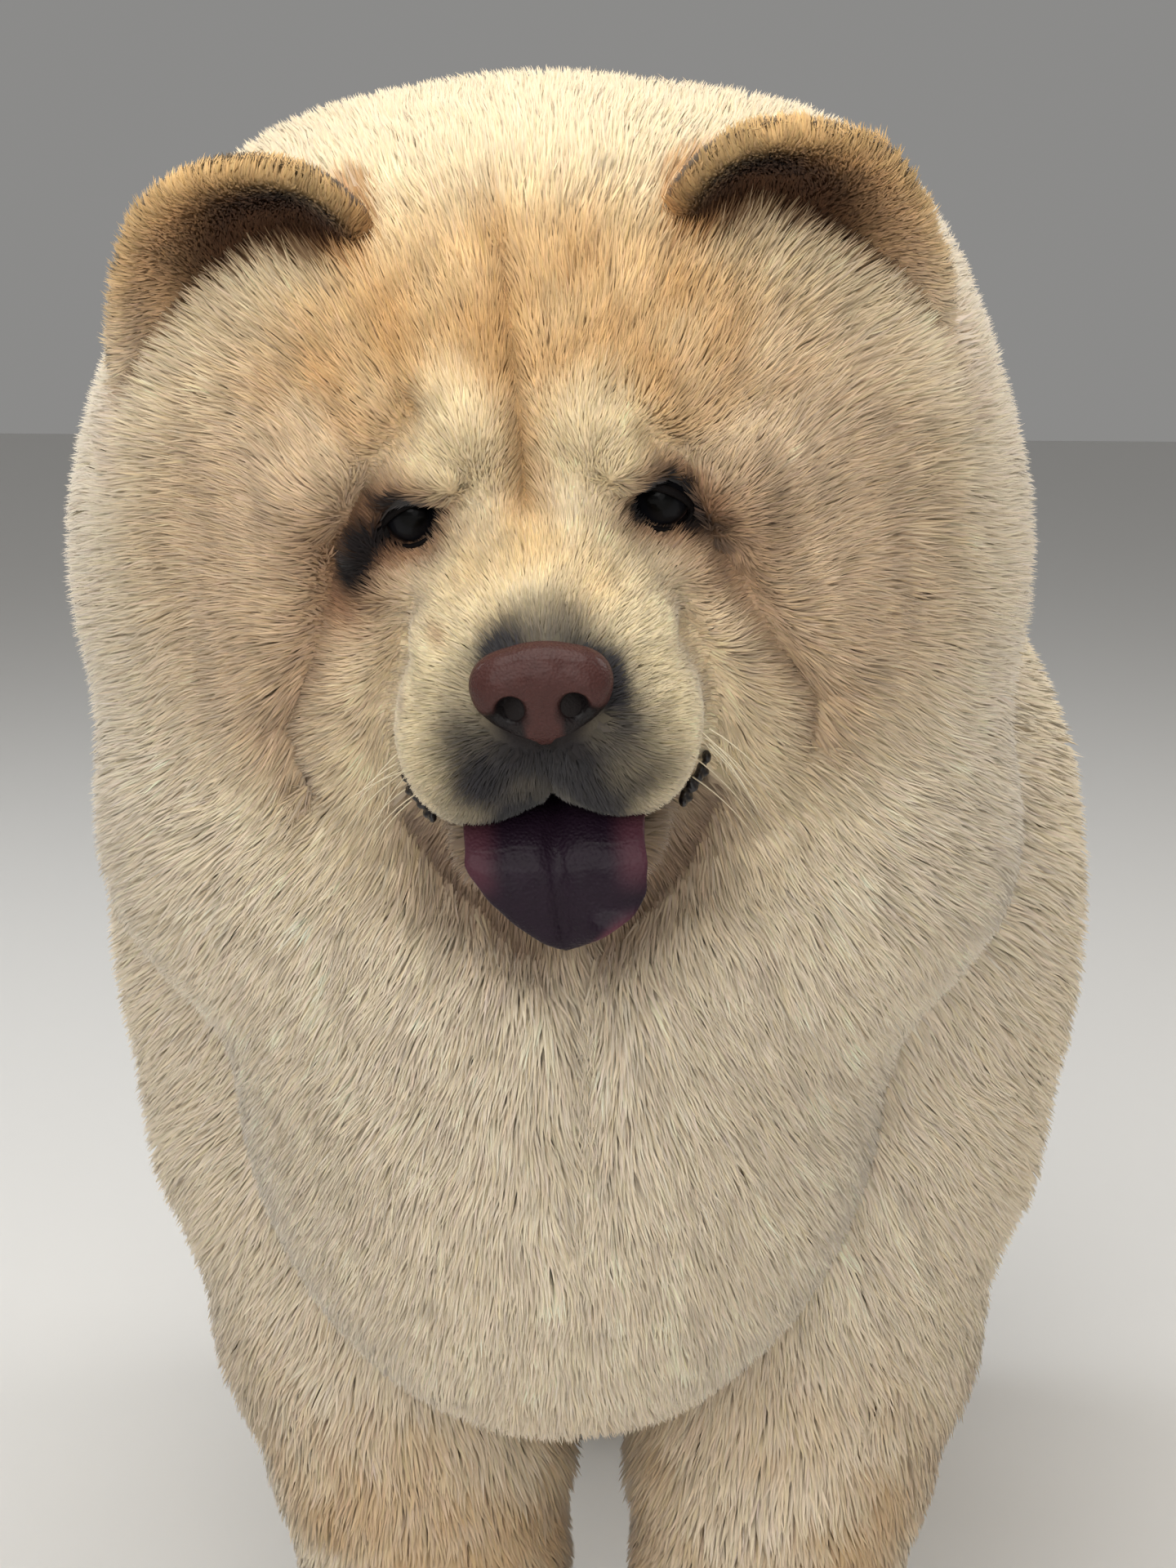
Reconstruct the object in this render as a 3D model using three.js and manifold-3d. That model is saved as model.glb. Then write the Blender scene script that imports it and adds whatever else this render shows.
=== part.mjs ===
// A standing rough-coated chow chow, life size, modelled to the outline of its scissored coat.
// Millimetres, +Z up, floor at z = 0, the dog faces -Y and its own left side is at +X.
// The whole body is one smooth blend of ellipsoids and tapered limbs. It is divided into cells, and each
// cell's piece is a capsule mesh whose points are pushed outwards until they meet the blend.
import * as THREE from "three";
import { mergeVertices } from "three/addons/utils/BufferGeometryUtils.js";
import Module from "manifold-3d";

const wasm = await Module();
wasm.setup();

// Driving dimensions
const BACK_TOP = 562; // top of the coat over the back
const CROWN_TOP = 691; // top of the mane behind the ears
const BELLY = 204; // underside of the belly coat
const BIB_BOTTOM = 163; // lowest point of the chest coat
const MANE_HALF = 182; // half width of the mane at cheek height
const SHOULDER_HALF = 199; // half width over the shoulders
const LEAN = -3; // the forequarters stand this far over to the right side
const FORE_Y = -127; // front legs, along the body
const HIND_Y = 261; // back legs, along the body
const FORE_X = 70; // front feet, to each side
const HIND_X = 80; // back feet, to each side
const GAP = 0.3; // between one piece and the next
const LAP_GAP = 2.6; // where one rounded mass lies on another, so that their facets stay apart
const MARGIN = 45; // how far a piece's mesh runs past its cell before it is cut
const FAR = 1000; // beyond the whole dog
const WELD = 1e-5; // points of a unit form nearer than this are one
const SIDES = { left: 1, right: -1 };

// The head is held turned, lowered and tipped a little, about the point midway between the eyes.
const EYE_MID = new THREE.Vector3(-6, FORE_Y - 205, 540);
const HEAD_PITCH = THREE.MathUtils.degToRad(15);
const HEAD_ROLL = THREE.MathUtils.degToRad(-4);
const HEAD_YAW = THREE.MathUtils.degToRad(4.4);
const EYE_APART = 83; // between the middles of the eyeballs
const EYE_RADIUS = 10.5;
const EYE_DEPTH = 5; // of the eyeball's middle behind the head's origin
const EYE_UP = 3;
const NOSE_WIDTH = 43;
const NOSE_FRONT = -75;
const NOSE_Z = -33;
const MUZZLE_HALF = 51;
const LIP_BOTTOM = -93;
const EAR_HALF = 66; // half the length of the ear along its root
const EAR_HIGH = 56; // from the root to the tip
const EAR_THICK = 19;
const EAR_CUP = 20; // how far the ear's leaf is dished
const TONGUE_WIDTH = 60;
const TONGUE_THICK = 7;
const TONGUE_BEND = -96; // height where the hanging part starts
const TONGUE_HANG = 30; // length of the hanging part
const TONGUE_POINTED = 0.85; // 0 leaves its end square and 1 brings it to a point

const BODY_FINISH = { color: 0xd9c6a2, roughness: 0.95, metalness: 0 };
const EAR_FINISH = { color: 0xb98a4e, roughness: 0.95, metalness: 0 };
const NOSE_FINISH = { color: 0x5a3f3c, roughness: 0.45, metalness: 0 };
const TONGUE_FINISH = { color: 0x33242f, roughness: 0.35, metalness: 0 };
const EYE_FINISH = { color: 0x0c0a0a, roughness: 0.08, metalness: 0 };

// Forms: each is a function of a point, below 0 inside and about the distance in millimetres outside
const vec = (x, y, z) => new THREE.Vector3(x, y, z);

// An ellipsoid, turned by three angles in degrees if they are given.
function ellipsoid(centre, radii, turn = [0, 0, 0]) {
  const angles = turn.map(THREE.MathUtils.degToRad);
  const back = new THREE.Quaternion().setFromEuler(new THREE.Euler(...angles)).invert();
  const q = vec(0, 0, 0);
  return (p) => {
    q.copy(p).sub(centre).applyQuaternion(back);
    const near = Math.hypot(q.x / radii[0], q.y / radii[1], q.z / radii[2]);
    const slope = Math.hypot(q.x / radii[0] ** 2, q.y / radii[1] ** 2, q.z / radii[2] ** 2);
    return near < 1e-6 ? -Math.min(...radii) : (near * (near - 1)) / slope;
  };
}

// A limb that tapers from radius ra at a to rb at b.
function limb(a, b, ra, rb) {
  const along = b.clone().sub(a);
  const q = vec(0, 0, 0);
  return (p) => {
    q.copy(p).sub(a);
    const t = THREE.MathUtils.clamp(q.dot(along) / along.lengthSq(), 0, 1);
    return q.addScaledVector(along, -t).length() - THREE.MathUtils.lerp(ra, rb, t);
  };
}

// A limb through several stations, each [point, radius].
function chain(stations) {
  return stations.slice(1).map(([b, rb], i) => limb(stations[i][0], b, stations[i][1], rb));
}

// The smooth union of two values, over a blending width k.
function soft(a, b, k) {
  const h = Math.max(k - Math.abs(a - b), 0) / k;
  return Math.min(a, b) - (h * h * k) / 4;
}

const blend = (forms, k) => (p) => forms.map((f) => f(p)).reduce((a, b) => soft(a, b, k));
const mirrored = (make) => [make(1), make(-1)];

// The head's own frame has its origin midway between the eyes, and -Y points out of the face.
const HEAD_MATRIX = new THREE.Matrix4().compose(
  EYE_MID,
  new THREE.Quaternion().setFromEuler(new THREE.Euler(HEAD_PITCH, HEAD_ROLL, HEAD_YAW, "ZXY")),
  vec(1, 1, 1),
);
const TO_HEAD = HEAD_MATRIX.clone().invert();
const inHead = (x, y, z) => vec(x, y, z).applyMatrix4(HEAD_MATRIX);

// A form written in the head's own frame, as a form of the whole frame.
function headForm(form) {
  const q = vec(0, 0, 0);
  return (p) => form(q.copy(p).applyMatrix4(TO_HEAD));
}

// The mane and the bib of the chest
const MANE_Y = FORE_Y - 75;
const maneForm = blend(
  [
    ellipsoid(vec(-14, MANE_Y, CROWN_TOP - 176), [MANE_HALF, 125, 176]),
    ...mirrored((side) => ellipsoid(vec(side * 97 - 11, MANE_Y + 8, 405), [80, 96, 76])),
    ellipsoid(vec(-10, MANE_Y + 5, BIB_BOTTOM + 168), [129, 112, 168]),
    ellipsoid(vec(LEAN, FORE_Y + 12, 500), [158, 125, 158]),
  ],
  40,
);

// The trunk with its shoulders, thighs and breeches
const MID_Z = (BACK_TOP + BELLY) / 2;
const trunkForm = blend(
  [
    ellipsoid(vec(LEAN, FORE_Y + 75, MID_Z), [188, 150, BACK_TOP - MID_Z]),
    ellipsoid(vec(0, FORE_Y + 215, MID_Z + 2), [180, 190, BACK_TOP - MID_Z - 4]),
    ellipsoid(vec(0, HIND_Y - 30, 395), [166, 150, BACK_TOP - 395]),
    ...mirrored((side) => ellipsoid(vec(side * (SHOULDER_HALF - 86) + LEAN, FORE_Y + 6, 360), [86, 84, 150])),
    ...mirrored((side) => ellipsoid(vec(side * 98, HIND_Y, 305), [86, 112, 150])),
    ...mirrored((side) => ellipsoid(vec(side * 64, HIND_Y + 58, 330), [82, 80, 120])),
  ],
  40,
);

function foreForm(side) {
  const x = side * FORE_X;
  const stations = [
    [vec(side * 98 + LEAN, FORE_Y, 262), 82],
    [vec(side * 86 + LEAN / 2, FORE_Y, 187), 71],
    [vec(side * 76, FORE_Y, 133), 62],
    [vec(x, FORE_Y + 2, 78), 56],
    [vec(x, FORE_Y + 2, 58), 53],
  ];
  return blend([...chain(stations), ellipsoid(vec(x, FORE_Y - 14, 32), [50, 60, 40])], 18);
}

function hindForm(side) {
  const x = side * HIND_X;
  const stations = [
    [vec(side * 94, HIND_Y + 20, 250), 80],
    [vec(side * 84, HIND_Y + 34, 140), 60],
    [vec(x, HIND_Y + 20, 58), 47],
  ];
  return blend([...chain(stations), ellipsoid(vec(x, HIND_Y + 4, 31), [47, 57, 39])], 18);
}

// The head, in its own frame: skull, cheeks, brows, the fold beside each eye, the bridge and the lips
function faceFold(side) {
  return chain([
    [vec(side * 40, 14, 24), 17],
    [vec(side * 66, 20, 4), 22],
    [vec(side * 84, 30, -34), 25],
    [vec(side * 84, 36, -66), 25],
  ]);
}

const lipForm = (side) => ellipsoid(vec(side * 24, -34, LIP_BOTTOM + 32), [MUZZLE_HALF - 24, 36, 32]);
const skullForm = blend(
  [
    ellipsoid(vec(0, 85, 0), [152, 97, 112]),
    ...mirrored((side) => ellipsoid(vec(side * 56, 34, -62), [56, 42, 54])),
    ...mirrored((side) => ellipsoid(vec(side * 25, 4, 27), [17, 15, 20])),
    ...mirrored(faceFold).flat(),
    limb(vec(0, -54, -39), vec(0, 4, -28), 21, 30),
    ellipsoid(vec(0, -30, -54), [47, 39, 28]),
    ...mirrored(lipForm),
  ],
  14,
);
const jawForm = headForm(
  blend([ellipsoid(vec(0, -28, -106), [37, 36, 20]), ellipsoid(vec(0, 10, -104), [44, 46, 32])], 16),
);

const skullInFrame = headForm(skullForm);
const frontForm = (p) => soft(maneForm(p), skullInFrame(p), 32);
const rearForm = blend([trunkForm, ...mirrored(foreForm), ...mirrored(hindForm)], 26);

// Solids
function solidOf(geometry) {
  const bare = geometry.index ? geometry.toNonIndexed() : geometry.clone();
  bare.deleteAttribute("normal");
  bare.deleteAttribute("uv");
  const merged = mergeVertices(bare, 1e-3);
  return new wasm.Manifold(
    new wasm.Mesh({
      numProp: 3,
      vertProperties: new Float32Array(merged.attributes.position.array),
      triVerts: new Uint32Array(merged.index.array),
    }),
  );
}

function geometryOf(solid) {
  const mesh = solid.getMesh();
  const geometry = new THREE.BufferGeometry();
  geometry.setAttribute("position", new THREE.BufferAttribute(mesh.vertProperties, 3));
  geometry.setIndex(new THREE.BufferAttribute(mesh.triVerts, 1));
  geometry.computeVertexNormals();
  return geometry;
}

// The largest body of a solid, without the crumbs that a cut may leave.
function largest(solid) {
  return solid.decompose().sort((a, b) => b.volume() - a.volume())[0];
}

// A capsule mesh laid from a to b, each point pushed straight out from that line to where form is 0.
function pushed(form, a, b, sides, rings) {
  const length = a.distanceTo(b);
  const caps = Math.max(3, Math.round(rings / 3));
  const capsule = new THREE.CapsuleGeometry(1, length, caps, sides, Math.max(1, rings - 2 * caps));
  capsule.deleteAttribute("normal");
  capsule.deleteAttribute("uv");
  const geometry = mergeVertices(capsule, WELD);
  const turn = new THREE.Quaternion().setFromUnitVectors(vec(0, 1, 0), b.clone().sub(a).normalize());
  const points = geometry.attributes.position;
  const out = vec(0, 0, 0);
  const from = vec(0, 0, 0);
  const p = vec(0, 0, 0);
  const at = (t) => form(p.copy(from).addScaledVector(out, t));
  for (let i = 0; i < points.count; i++) {
    out.fromBufferAttribute(points, i);
    const along = THREE.MathUtils.clamp(out.y, -length / 2, length / 2);
    out.y -= along;
    out.applyQuaternion(turn).normalize();
    from.lerpVectors(a, b, along / length + 0.5);
    let near = 0;
    let far = 1;
    while (at(far) < 0 && far < FAR) {
      near = far;
      far += Math.max(0.5, -at(far) * 0.7);
    }
    for (let step = 0; step < 22; step++) {
      const middle = (near + far) / 2;
      if (at(middle) < 0) near = middle;
      else far = middle;
    }
    at(near);
    points.setXYZ(i, p.x, p.y, p.z);
  }
  return solidOf(geometry);
}

// A cell is a box between two corners, in the frame or, with a matrix, in the head's own frame. It has a
// solid to cut with and a form that keeps a pushed mesh from running far beyond it.
function cell(low, high, matrix = new THREE.Matrix4()) {
  const centre = low.clone().add(high).multiplyScalar(0.5);
  const half = high.clone().sub(low).multiplyScalar(0.5);
  const geometry = new THREE.BoxGeometry(half.x * 2, half.y * 2, half.z * 2);
  geometry.translate(centre.x, centre.y, centre.z).applyMatrix4(matrix);
  const back = matrix.clone().invert();
  const q = vec(0, 0, 0);
  const form = (p) => {
    q.copy(p).applyMatrix4(back).sub(centre);
    return Math.max(Math.abs(q.x) - half.x, Math.abs(q.y) - half.y, Math.abs(q.z) - half.z);
  };
  return { solid: solidOf(geometry), form };
}

// The part of a body form that lies in a cell, as a solid.
function inCell(form, room, a, b, sides, rings) {
  const held = (p) => Math.max(form(p), room.form(p) - MARGIN);
  return pushed(held, a, b, sides, rings).intersect(room.solid);
}

const dog = new THREE.Group();

function piece(name, solid, finish) {
  const mesh = new THREE.Mesh(geometryOf(largest(solid)), new THREE.MeshStandardMaterial(finish));
  mesh.name = name;
  dog.add(mesh);
}

// The mane, bib and head, a gap larger than they are, to cut what lies behind them
const MANE_LINE = [vec(-10, MANE_Y, 330), vec(-10, MANE_Y + 20, 510)];
const NECK_LINE = [vec(-8, MANE_Y - 34, 520), vec(-8, FORE_Y - 30, 500)];
const frontGrown = pushed((p) => frontForm(p) - LAP_GAP, ...MANE_LINE, 32, 21);

// Divisions of the body
const FORE_TOP = 238;
const HIND_TOP = 250;
const FORE_CUTS = [58, 130]; // wrist and knee
const HIND_CUTS = [56, 135]; // hock and stifle
const LEG_MESH = [12, 11]; // sides and rings of a leg's mesh
const CHEST_Z = 402; // the head and neck are above, the chest below
const WAIST_Y = (FORE_Y + HIND_Y) / 2 + 20;
const NAPE = 88; // the neck is behind this, in the head's own frame
const MUZZLE_BACK = -22;
const MUZZLE_CELL = 72; // half width of the cell that parts the muzzle from the head
const ELBOW = [-FAR, FORE_Y + 110];
const STIFLE = [HIND_Y - 105, FAR];

// One leg: its quarter of the space under the body, divided into paw, lower and upper.
function leg(name, side, [yLow, yHigh], top, cuts, foot, hip) {
  const inner = side > 0 ? GAP / 2 : -FAR;
  const outer = side > 0 ? FAR : -GAP / 2;
  const room = cell(vec(inner, yLow, 0), vec(outer, yHigh, top - GAP / 2));
  const whole = inCell(rearForm, room, foot, hip, ...LEG_MESH).subtract(frontGrown);
  const levels = [0, ...cuts, top];
  ["paw", "lower", "upper"].forEach((part, i) => {
    const low = levels[i] + (i ? GAP / 2 : 0);
    const slab = cell(vec(inner, yLow, low), vec(outer, yHigh, levels[i + 1] - GAP / 2));
    piece(`${name}_${part}`, whole.intersect(slab.solid), BODY_FINISH);
  });
}

for (const [word, side] of Object.entries(SIDES)) {
  const foot = vec(side * FORE_X, FORE_Y - 2, 45);
  const hock = vec(side * HIND_X, HIND_Y + 12, 45);
  const foreRange = [ELBOW[0] + GAP / 2, ELBOW[1] - GAP / 2];
  const hindRange = [STIFLE[0] + GAP / 2, STIFLE[1] - GAP / 2];
  const shoulder = vec(side * 92, FORE_Y, 215);
  const hip = vec(side * 94, HIND_Y + 24, 225);
  leg(`foreleg_${word}`, side, foreRange, FORE_TOP, FORE_CUTS, foot, shoulder);
  leg(`hindleg_${word}`, side, hindRange, HIND_TOP, HIND_CUTS, hock, hip);
}

function trunkPieces() {
  const overLegs = (yLow, yHigh, top) =>
    cell(vec(-FAR, yLow - GAP / 2, -FAR), vec(FAR, yHigh + GAP / 2, top + GAP / 2)).solid;
  const legs = overLegs(...ELBOW, FORE_TOP).add(overLegs(...STIFLE, HIND_TOP)).add(frontGrown);
  const front = cell(vec(-FAR, -FAR, 0), vec(FAR, WAIST_Y - GAP / 2, FAR));
  const rear = cell(vec(-FAR, WAIST_Y + GAP / 2, 0), vec(FAR, FAR, FAR));
  const chestLine = [vec(LEAN, FORE_Y + 10, 360), vec(0, WAIST_Y + 25, 385)];
  const rumpLine = [vec(0, WAIST_Y - 25, 385), vec(0, HIND_Y + 30, 380)];
  piece("trunk_front", inCell(rearForm, front, ...chestLine, 24, 14).subtract(legs), BODY_FINISH);
  piece("trunk_rear", inCell(rearForm, rear, ...rumpLine, 24, 13).subtract(legs), BODY_FINISH);
}
trunkPieces();

// The tail rises from the rump and lies over the back: a capsule bent along a curve, with a radius at
// each of its stations.
const TAIL = [
  [vec(0, HIND_Y + 40, 490), 42],
  [vec(0, HIND_Y + 72, 560), 62],
  [vec(4, HIND_Y + 40, 606), 72],
  [vec(14, HIND_Y - 35, 616), 73],
  [vec(22, HIND_Y - 108, 602), 60],
  [vec(28, HIND_Y - 158, 586), 34],
];

const TAIL_TUBE = 10; // length of the straight capsule that is bent into the tail

function tailSolid() {
  const curve = new THREE.CatmullRomCurve3(TAIL.map(([point]) => point));
  const tube = new THREE.CapsuleGeometry(1, TAIL_TUBE, 2, 12, 10);
  tube.deleteAttribute("normal");
  tube.deleteAttribute("uv");
  const geometry = mergeVertices(tube, WELD);
  const points = geometry.attributes.position;
  const across = vec(1, 0, 0);
  for (let i = 0; i < points.count; i++) {
    const along = THREE.MathUtils.clamp(points.getY(i), -TAIL_TUBE / 2, TAIL_TUBE / 2);
    const t = along / TAIL_TUBE + 0.5;
    const cap = points.getY(i) - along;
    const place = t * (TAIL.length - 1);
    const station = Math.min(Math.floor(place), TAIL.length - 2);
    const radius = THREE.MathUtils.lerp(TAIL[station][1], TAIL[station + 1][1], place - station);
    const ahead = curve.getTangent(t);
    const up = across.clone().cross(ahead).normalize();
    const p = curve.getPoint(t);
    p.addScaledVector(across, points.getX(i) * radius);
    p.addScaledVector(up, points.getZ(i) * radius).addScaledVector(ahead, cap * radius);
    points.setXYZ(i, p.x, p.y, p.z);
  }
  return solidOf(geometry);
}

function tailPieces() {
  const grown = (p) => rearForm(p) - LAP_GAP;
  const rump = pushed(grown, vec(0, WAIST_Y - 60, 385), vec(0, HIND_Y + 30, 380), 28, 16);
  const tail = tailSolid().subtract(rump);
  const [root] = TAIL[0];
  const behind = cell(vec(-FAR, root.y + GAP / 2, 0), vec(FAR, FAR, FAR)).solid;
  const ahead = cell(vec(-FAR, -FAR, 0), vec(FAR, root.y - GAP / 2, FAR)).solid;
  piece("tail_root", tail.intersect(behind), BODY_FINISH);
  piece("tail_plume", tail.intersect(ahead), BODY_FINISH);
}
tailPieces();

// Nose leather with two nostrils
const noseForm = blend(
  [
    ellipsoid(vec(0, NOSE_FRONT + 11, NOSE_Z + 3), [NOSE_WIDTH / 2, 11, 12]),
    ellipsoid(vec(0, NOSE_FRONT + 9, NOSE_Z - 7), [12, 8, 12]),
    ...mirrored((side) => ellipsoid(vec(side * 14, NOSE_FRONT + 9, NOSE_Z - 1), [8, 9, 9])),
  ],
  5,
);

function noseSolid(grow) {
  const form = headForm((p) => noseForm(p) - grow);
  return pushed(form, inHead(-8, NOSE_FRONT + 13, NOSE_Z), inHead(8, NOSE_FRONT + 13, NOSE_Z), 12, 8);
}

function nostril(side) {
  const x = side * 10;
  const form = headForm(ellipsoid(vec(x, NOSE_FRONT + 1, NOSE_Z - 3), [4, 7, 4.5], [0, side * -20, 0]));
  return pushed(form, inHead(x, NOSE_FRONT, NOSE_Z - 3), inHead(x, NOSE_FRONT + 2, NOSE_Z - 3), 6, 6);
}

// The tongue lies in the mouth, then bends down over the lip: a rounded slab along one curve.
function tongueSolid(grow) {
  const section = new THREE.Shape();
  section.absellipse(0, 0, TONGUE_WIDTH / 2 + grow, TONGUE_THICK / 2 + grow, 0, Math.PI * 2, false);
  const path = new THREE.CatmullRomCurve3([
    vec(0, -16 + grow, -88),
    vec(0, -48, -88),
    vec(0, -67, -94),
    vec(0, -73, -108),
    vec(0, -72, -125 - grow),
  ]);
  const geometry = new THREE.ExtrudeGeometry(section, { extrudePath: path, steps: 10, curveSegments: 6 });
  const points = geometry.attributes.position;
  for (let i = 0; i < points.count; i++) {
    const hang = THREE.MathUtils.clamp((TONGUE_BEND - points.getZ(i)) / TONGUE_HANG, 0, 1);
    points.setX(i, points.getX(i) * Math.sqrt(1 - TONGUE_POINTED * hang * hang));
  }
  return solidOf(geometry.applyMatrix4(HEAD_MATRIX));
}

function jawSolid(grow) {
  const form = (p) => jawForm(p) - grow;
  return pushed(form, inHead(0, -24, -105), inHead(0, 20, -103), 14, 9);
}

function eyeball(side, grow) {
  const ball = new THREE.SphereGeometry(EYE_RADIUS + grow, 12, 8);
  ball.translate((side * EYE_APART) / 2, EYE_DEPTH, EYE_UP);
  return solidOf(ball.applyMatrix4(HEAD_MATRIX));
}

// The opening between the lids, from the eyeball out through the coat.
function eyeOpening(side) {
  const x = (side * EYE_APART) / 2;
  const form = headForm(ellipsoid(vec(x, EYE_DEPTH - 12, EYE_UP), [10, 14, 8]));
  return pushed(form, inHead(x, EYE_DEPTH - 13, EYE_UP), inHead(x, EYE_DEPTH - 11, EYE_UP), 10, 6);
}

// An ear: a thick leaf, an oval whose lower half is rooted in the head, hollowed towards the front.
const EAR_ROOT = vec(98, 60, 54);
const EAR_ALONG = vec(0.72, 0.26, -0.64).normalize();
const EAR_UP = vec(0.62, -0.12, 0.77).normalize();
const EAR_FRONT = EAR_ALONG.clone().cross(EAR_UP).normalize();
const EAR_SKEW = 12; // how far the tip leans towards the crown
const EAR_SUNK = 0.45; // the share of its height that the root reaches into the head
const EAR_BOWL = { middle: [-5, 22, 6], radii: [50, 24, 16] }; // along, up and out of the leaf

function earPoint(along, up, out) {
  const p = EAR_ROOT.clone().addScaledVector(EAR_ALONG, along);
  return p.addScaledVector(EAR_UP, up).addScaledVector(EAR_FRONT, out);
}

function earSolid(side, grow) {
  const leaf = new THREE.SphereGeometry(1, 16, 8);
  leaf.deleteAttribute("normal");
  leaf.deleteAttribute("uv");
  const merged = mergeVertices(leaf, WELD);
  const points = merged.attributes.position;
  const u = vec(0, 0, 0);
  for (let i = 0; i < points.count; i++) {
    u.fromBufferAttribute(points, i);
    const rim = u.x * u.x + u.y * u.y;
    const thick = Math.sign(u.z) * Math.sqrt(Math.max(0, 1 - rim * rim)) * (EAR_THICK / 2 + grow);
    const along = u.x * (EAR_HALF + grow) - EAR_SKEW * Math.max(u.y, 0);
    const up = u.y * (EAR_HIGH + grow) * (u.y < 0 ? EAR_SUNK : 1);
    const p = earPoint(along, up, thick - EAR_CUP * (1 - rim));
    points.setXYZ(i, p.x * side, p.y, p.z);
  }
  if (side < 0) merged.index.array.reverse();
  return solidOf(merged.applyMatrix4(HEAD_MATRIX));
}

// The hollow in front of the ear, which the temple's coat ends at.
function earBowl(side) {
  const bowl = new THREE.SphereGeometry(1, 12, 8);
  const points = bowl.attributes.position;
  for (let i = 0; i < points.count; i++) {
    const at = [points.getX(i), points.getY(i), points.getZ(i)];
    const p = earPoint(...at.map((c, k) => EAR_BOWL.middle[k] + c * EAR_BOWL.radii[k]));
    points.setXYZ(i, p.x * side, p.y, p.z);
  }
  if (side < 0) bowl.index.array.reverse();
  return solidOf(bowl.applyMatrix4(HEAD_MATRIX));
}

function headPieces() {
  const source = [inHead(0, 66, -26), inHead(0, 54, -26)];
  const faceLow = vec(-MUZZLE_CELL, -FAR, LIP_BOTTOM - 7);
  const faceHigh = vec(MUZZLE_CELL, MUZZLE_BACK, 20);
  const muzzleRoom = cell(faceLow, faceHigh, HEAD_MATRIX);
  const muzzleGrown = cell(faceLow.clone().subScalar(GAP), faceHigh.clone().addScalar(GAP), HEAD_MATRIX);
  const aboveChest = cell(vec(-FAR, -FAR, CHEST_Z + GAP / 2), vec(FAR, FAR, FAR));
  const above = (low, high) => {
    const room = cell(vec(-FAR, low, -FAR), vec(FAR, high, FAR), HEAD_MATRIX);
    return {
      solid: room.solid.intersect(aboveChest.solid),
      form: (p) => Math.max(room.form(p), aboveChest.form(p)),
    };
  };
  const holes = [noseSolid(GAP), jawSolid(GAP), tongueSolid(GAP)];
  for (const side of Object.values(SIDES)) {
    holes.push(eyeball(side, GAP), eyeOpening(side), earBowl(side), earSolid(side, GAP));
  }
  const clear = (solid) => holes.reduce((left, hole) => left.subtract(hole), solid);
  const head = inCell(frontForm, above(-FAR, NAPE - GAP / 2), ...source, 34, 21);
  piece("head", clear(head.subtract(muzzleGrown.solid)), BODY_FINISH);
  const muzzle = inCell(frontForm, muzzleRoom, inHead(0, -12, -52), inHead(0, -36, -56), 18, 10);
  piece("muzzle", clear(muzzle), BODY_FINISH);
  const neck = inCell(frontForm, above(NAPE + GAP / 2, FAR), ...NECK_LINE, 24, 12);
  piece("neck", clear(neck), BODY_FINISH);
  const chestRoom = cell(vec(-FAR, -FAR, 0), vec(FAR, FAR, CHEST_Z - GAP / 2));
  const chestLine = [vec(-10, MANE_Y, 290), vec(-10, MANE_Y, 390)];
  piece("chest", clear(inCell(frontForm, chestRoom, ...chestLine, 26, 13)), BODY_FINISH);
  for (const [word, side] of Object.entries(SIDES)) {
    piece(`ear_${word}`, earSolid(side, 0).subtract(earBowl(side)), EAR_FINISH);
    piece(`eye_${word}`, eyeball(side, 0), EYE_FINISH);
  }
  piece("lower_jaw", jawSolid(0).subtract(tongueSolid(GAP)), BODY_FINISH);
  piece("tongue", tongueSolid(0), TONGUE_FINISH);
  const nose = noseSolid(0).subtract(nostril(1)).subtract(nostril(-1));
  piece("nose", nose, NOSE_FINISH);
}
headPieces();

export default dog;
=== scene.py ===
"""A chow chow standing as a still, life-size model: skin, coat of tufts, eyes, nose, tongue and claws."""

import math

import bmesh
import bpy
import numpy as np
import openvdb
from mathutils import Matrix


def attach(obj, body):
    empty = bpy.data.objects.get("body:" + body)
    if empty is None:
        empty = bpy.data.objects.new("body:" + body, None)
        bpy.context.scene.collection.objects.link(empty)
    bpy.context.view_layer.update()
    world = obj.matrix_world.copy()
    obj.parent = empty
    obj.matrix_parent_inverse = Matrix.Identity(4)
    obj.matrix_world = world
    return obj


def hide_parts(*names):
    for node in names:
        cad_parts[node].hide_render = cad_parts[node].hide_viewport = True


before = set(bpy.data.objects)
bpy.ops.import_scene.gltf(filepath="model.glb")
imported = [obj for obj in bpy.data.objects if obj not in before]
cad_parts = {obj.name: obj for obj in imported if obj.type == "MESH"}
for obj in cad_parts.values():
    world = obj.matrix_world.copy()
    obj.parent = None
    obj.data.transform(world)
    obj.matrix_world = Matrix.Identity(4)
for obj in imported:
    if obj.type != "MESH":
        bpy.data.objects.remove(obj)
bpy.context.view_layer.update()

MM = 0.001
rng = np.random.default_rng(11)

# The stance, in millimetres, as the solids have it
FORE_Y = -127.0
HIND_Y = 261.0
LEAN = -3.0
MANE_Y = FORE_Y - 75
MID_Z = 383.0
SIDES = (1, -1)
HANDS = ((1, "left"), (-1, "right"))

# How far the paws stand to the side, and the side and front of their toes
FORE_X, HIND_X = 70, 80
FORE_PAW = (FORE_X, FORE_Y - 50)
HIND_PAW = (HIND_X, HIND_Y - 30)
# Each toe: to the side of the paw's middle, and back of its front
TOES = ((-31, 6), (-11, 0), (11, 0), (31, 6))

# Where the camera stands, and where the eyes look
CAMERA_AT = np.array([99.13, -1448.59, 667.10])


def srgb(r, g, b):
    """Linear colour of a given 0..255 colour: c / 12.92 where c is dark, and elsewhere
    ((c + 0.055) / 1.055) ** 2.4."""
    c = np.array([r, g, b], float) / 255
    return np.where(c > 0.04045, ((c + 0.055) / 1.055) ** 2.4, c / 12.92)


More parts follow.
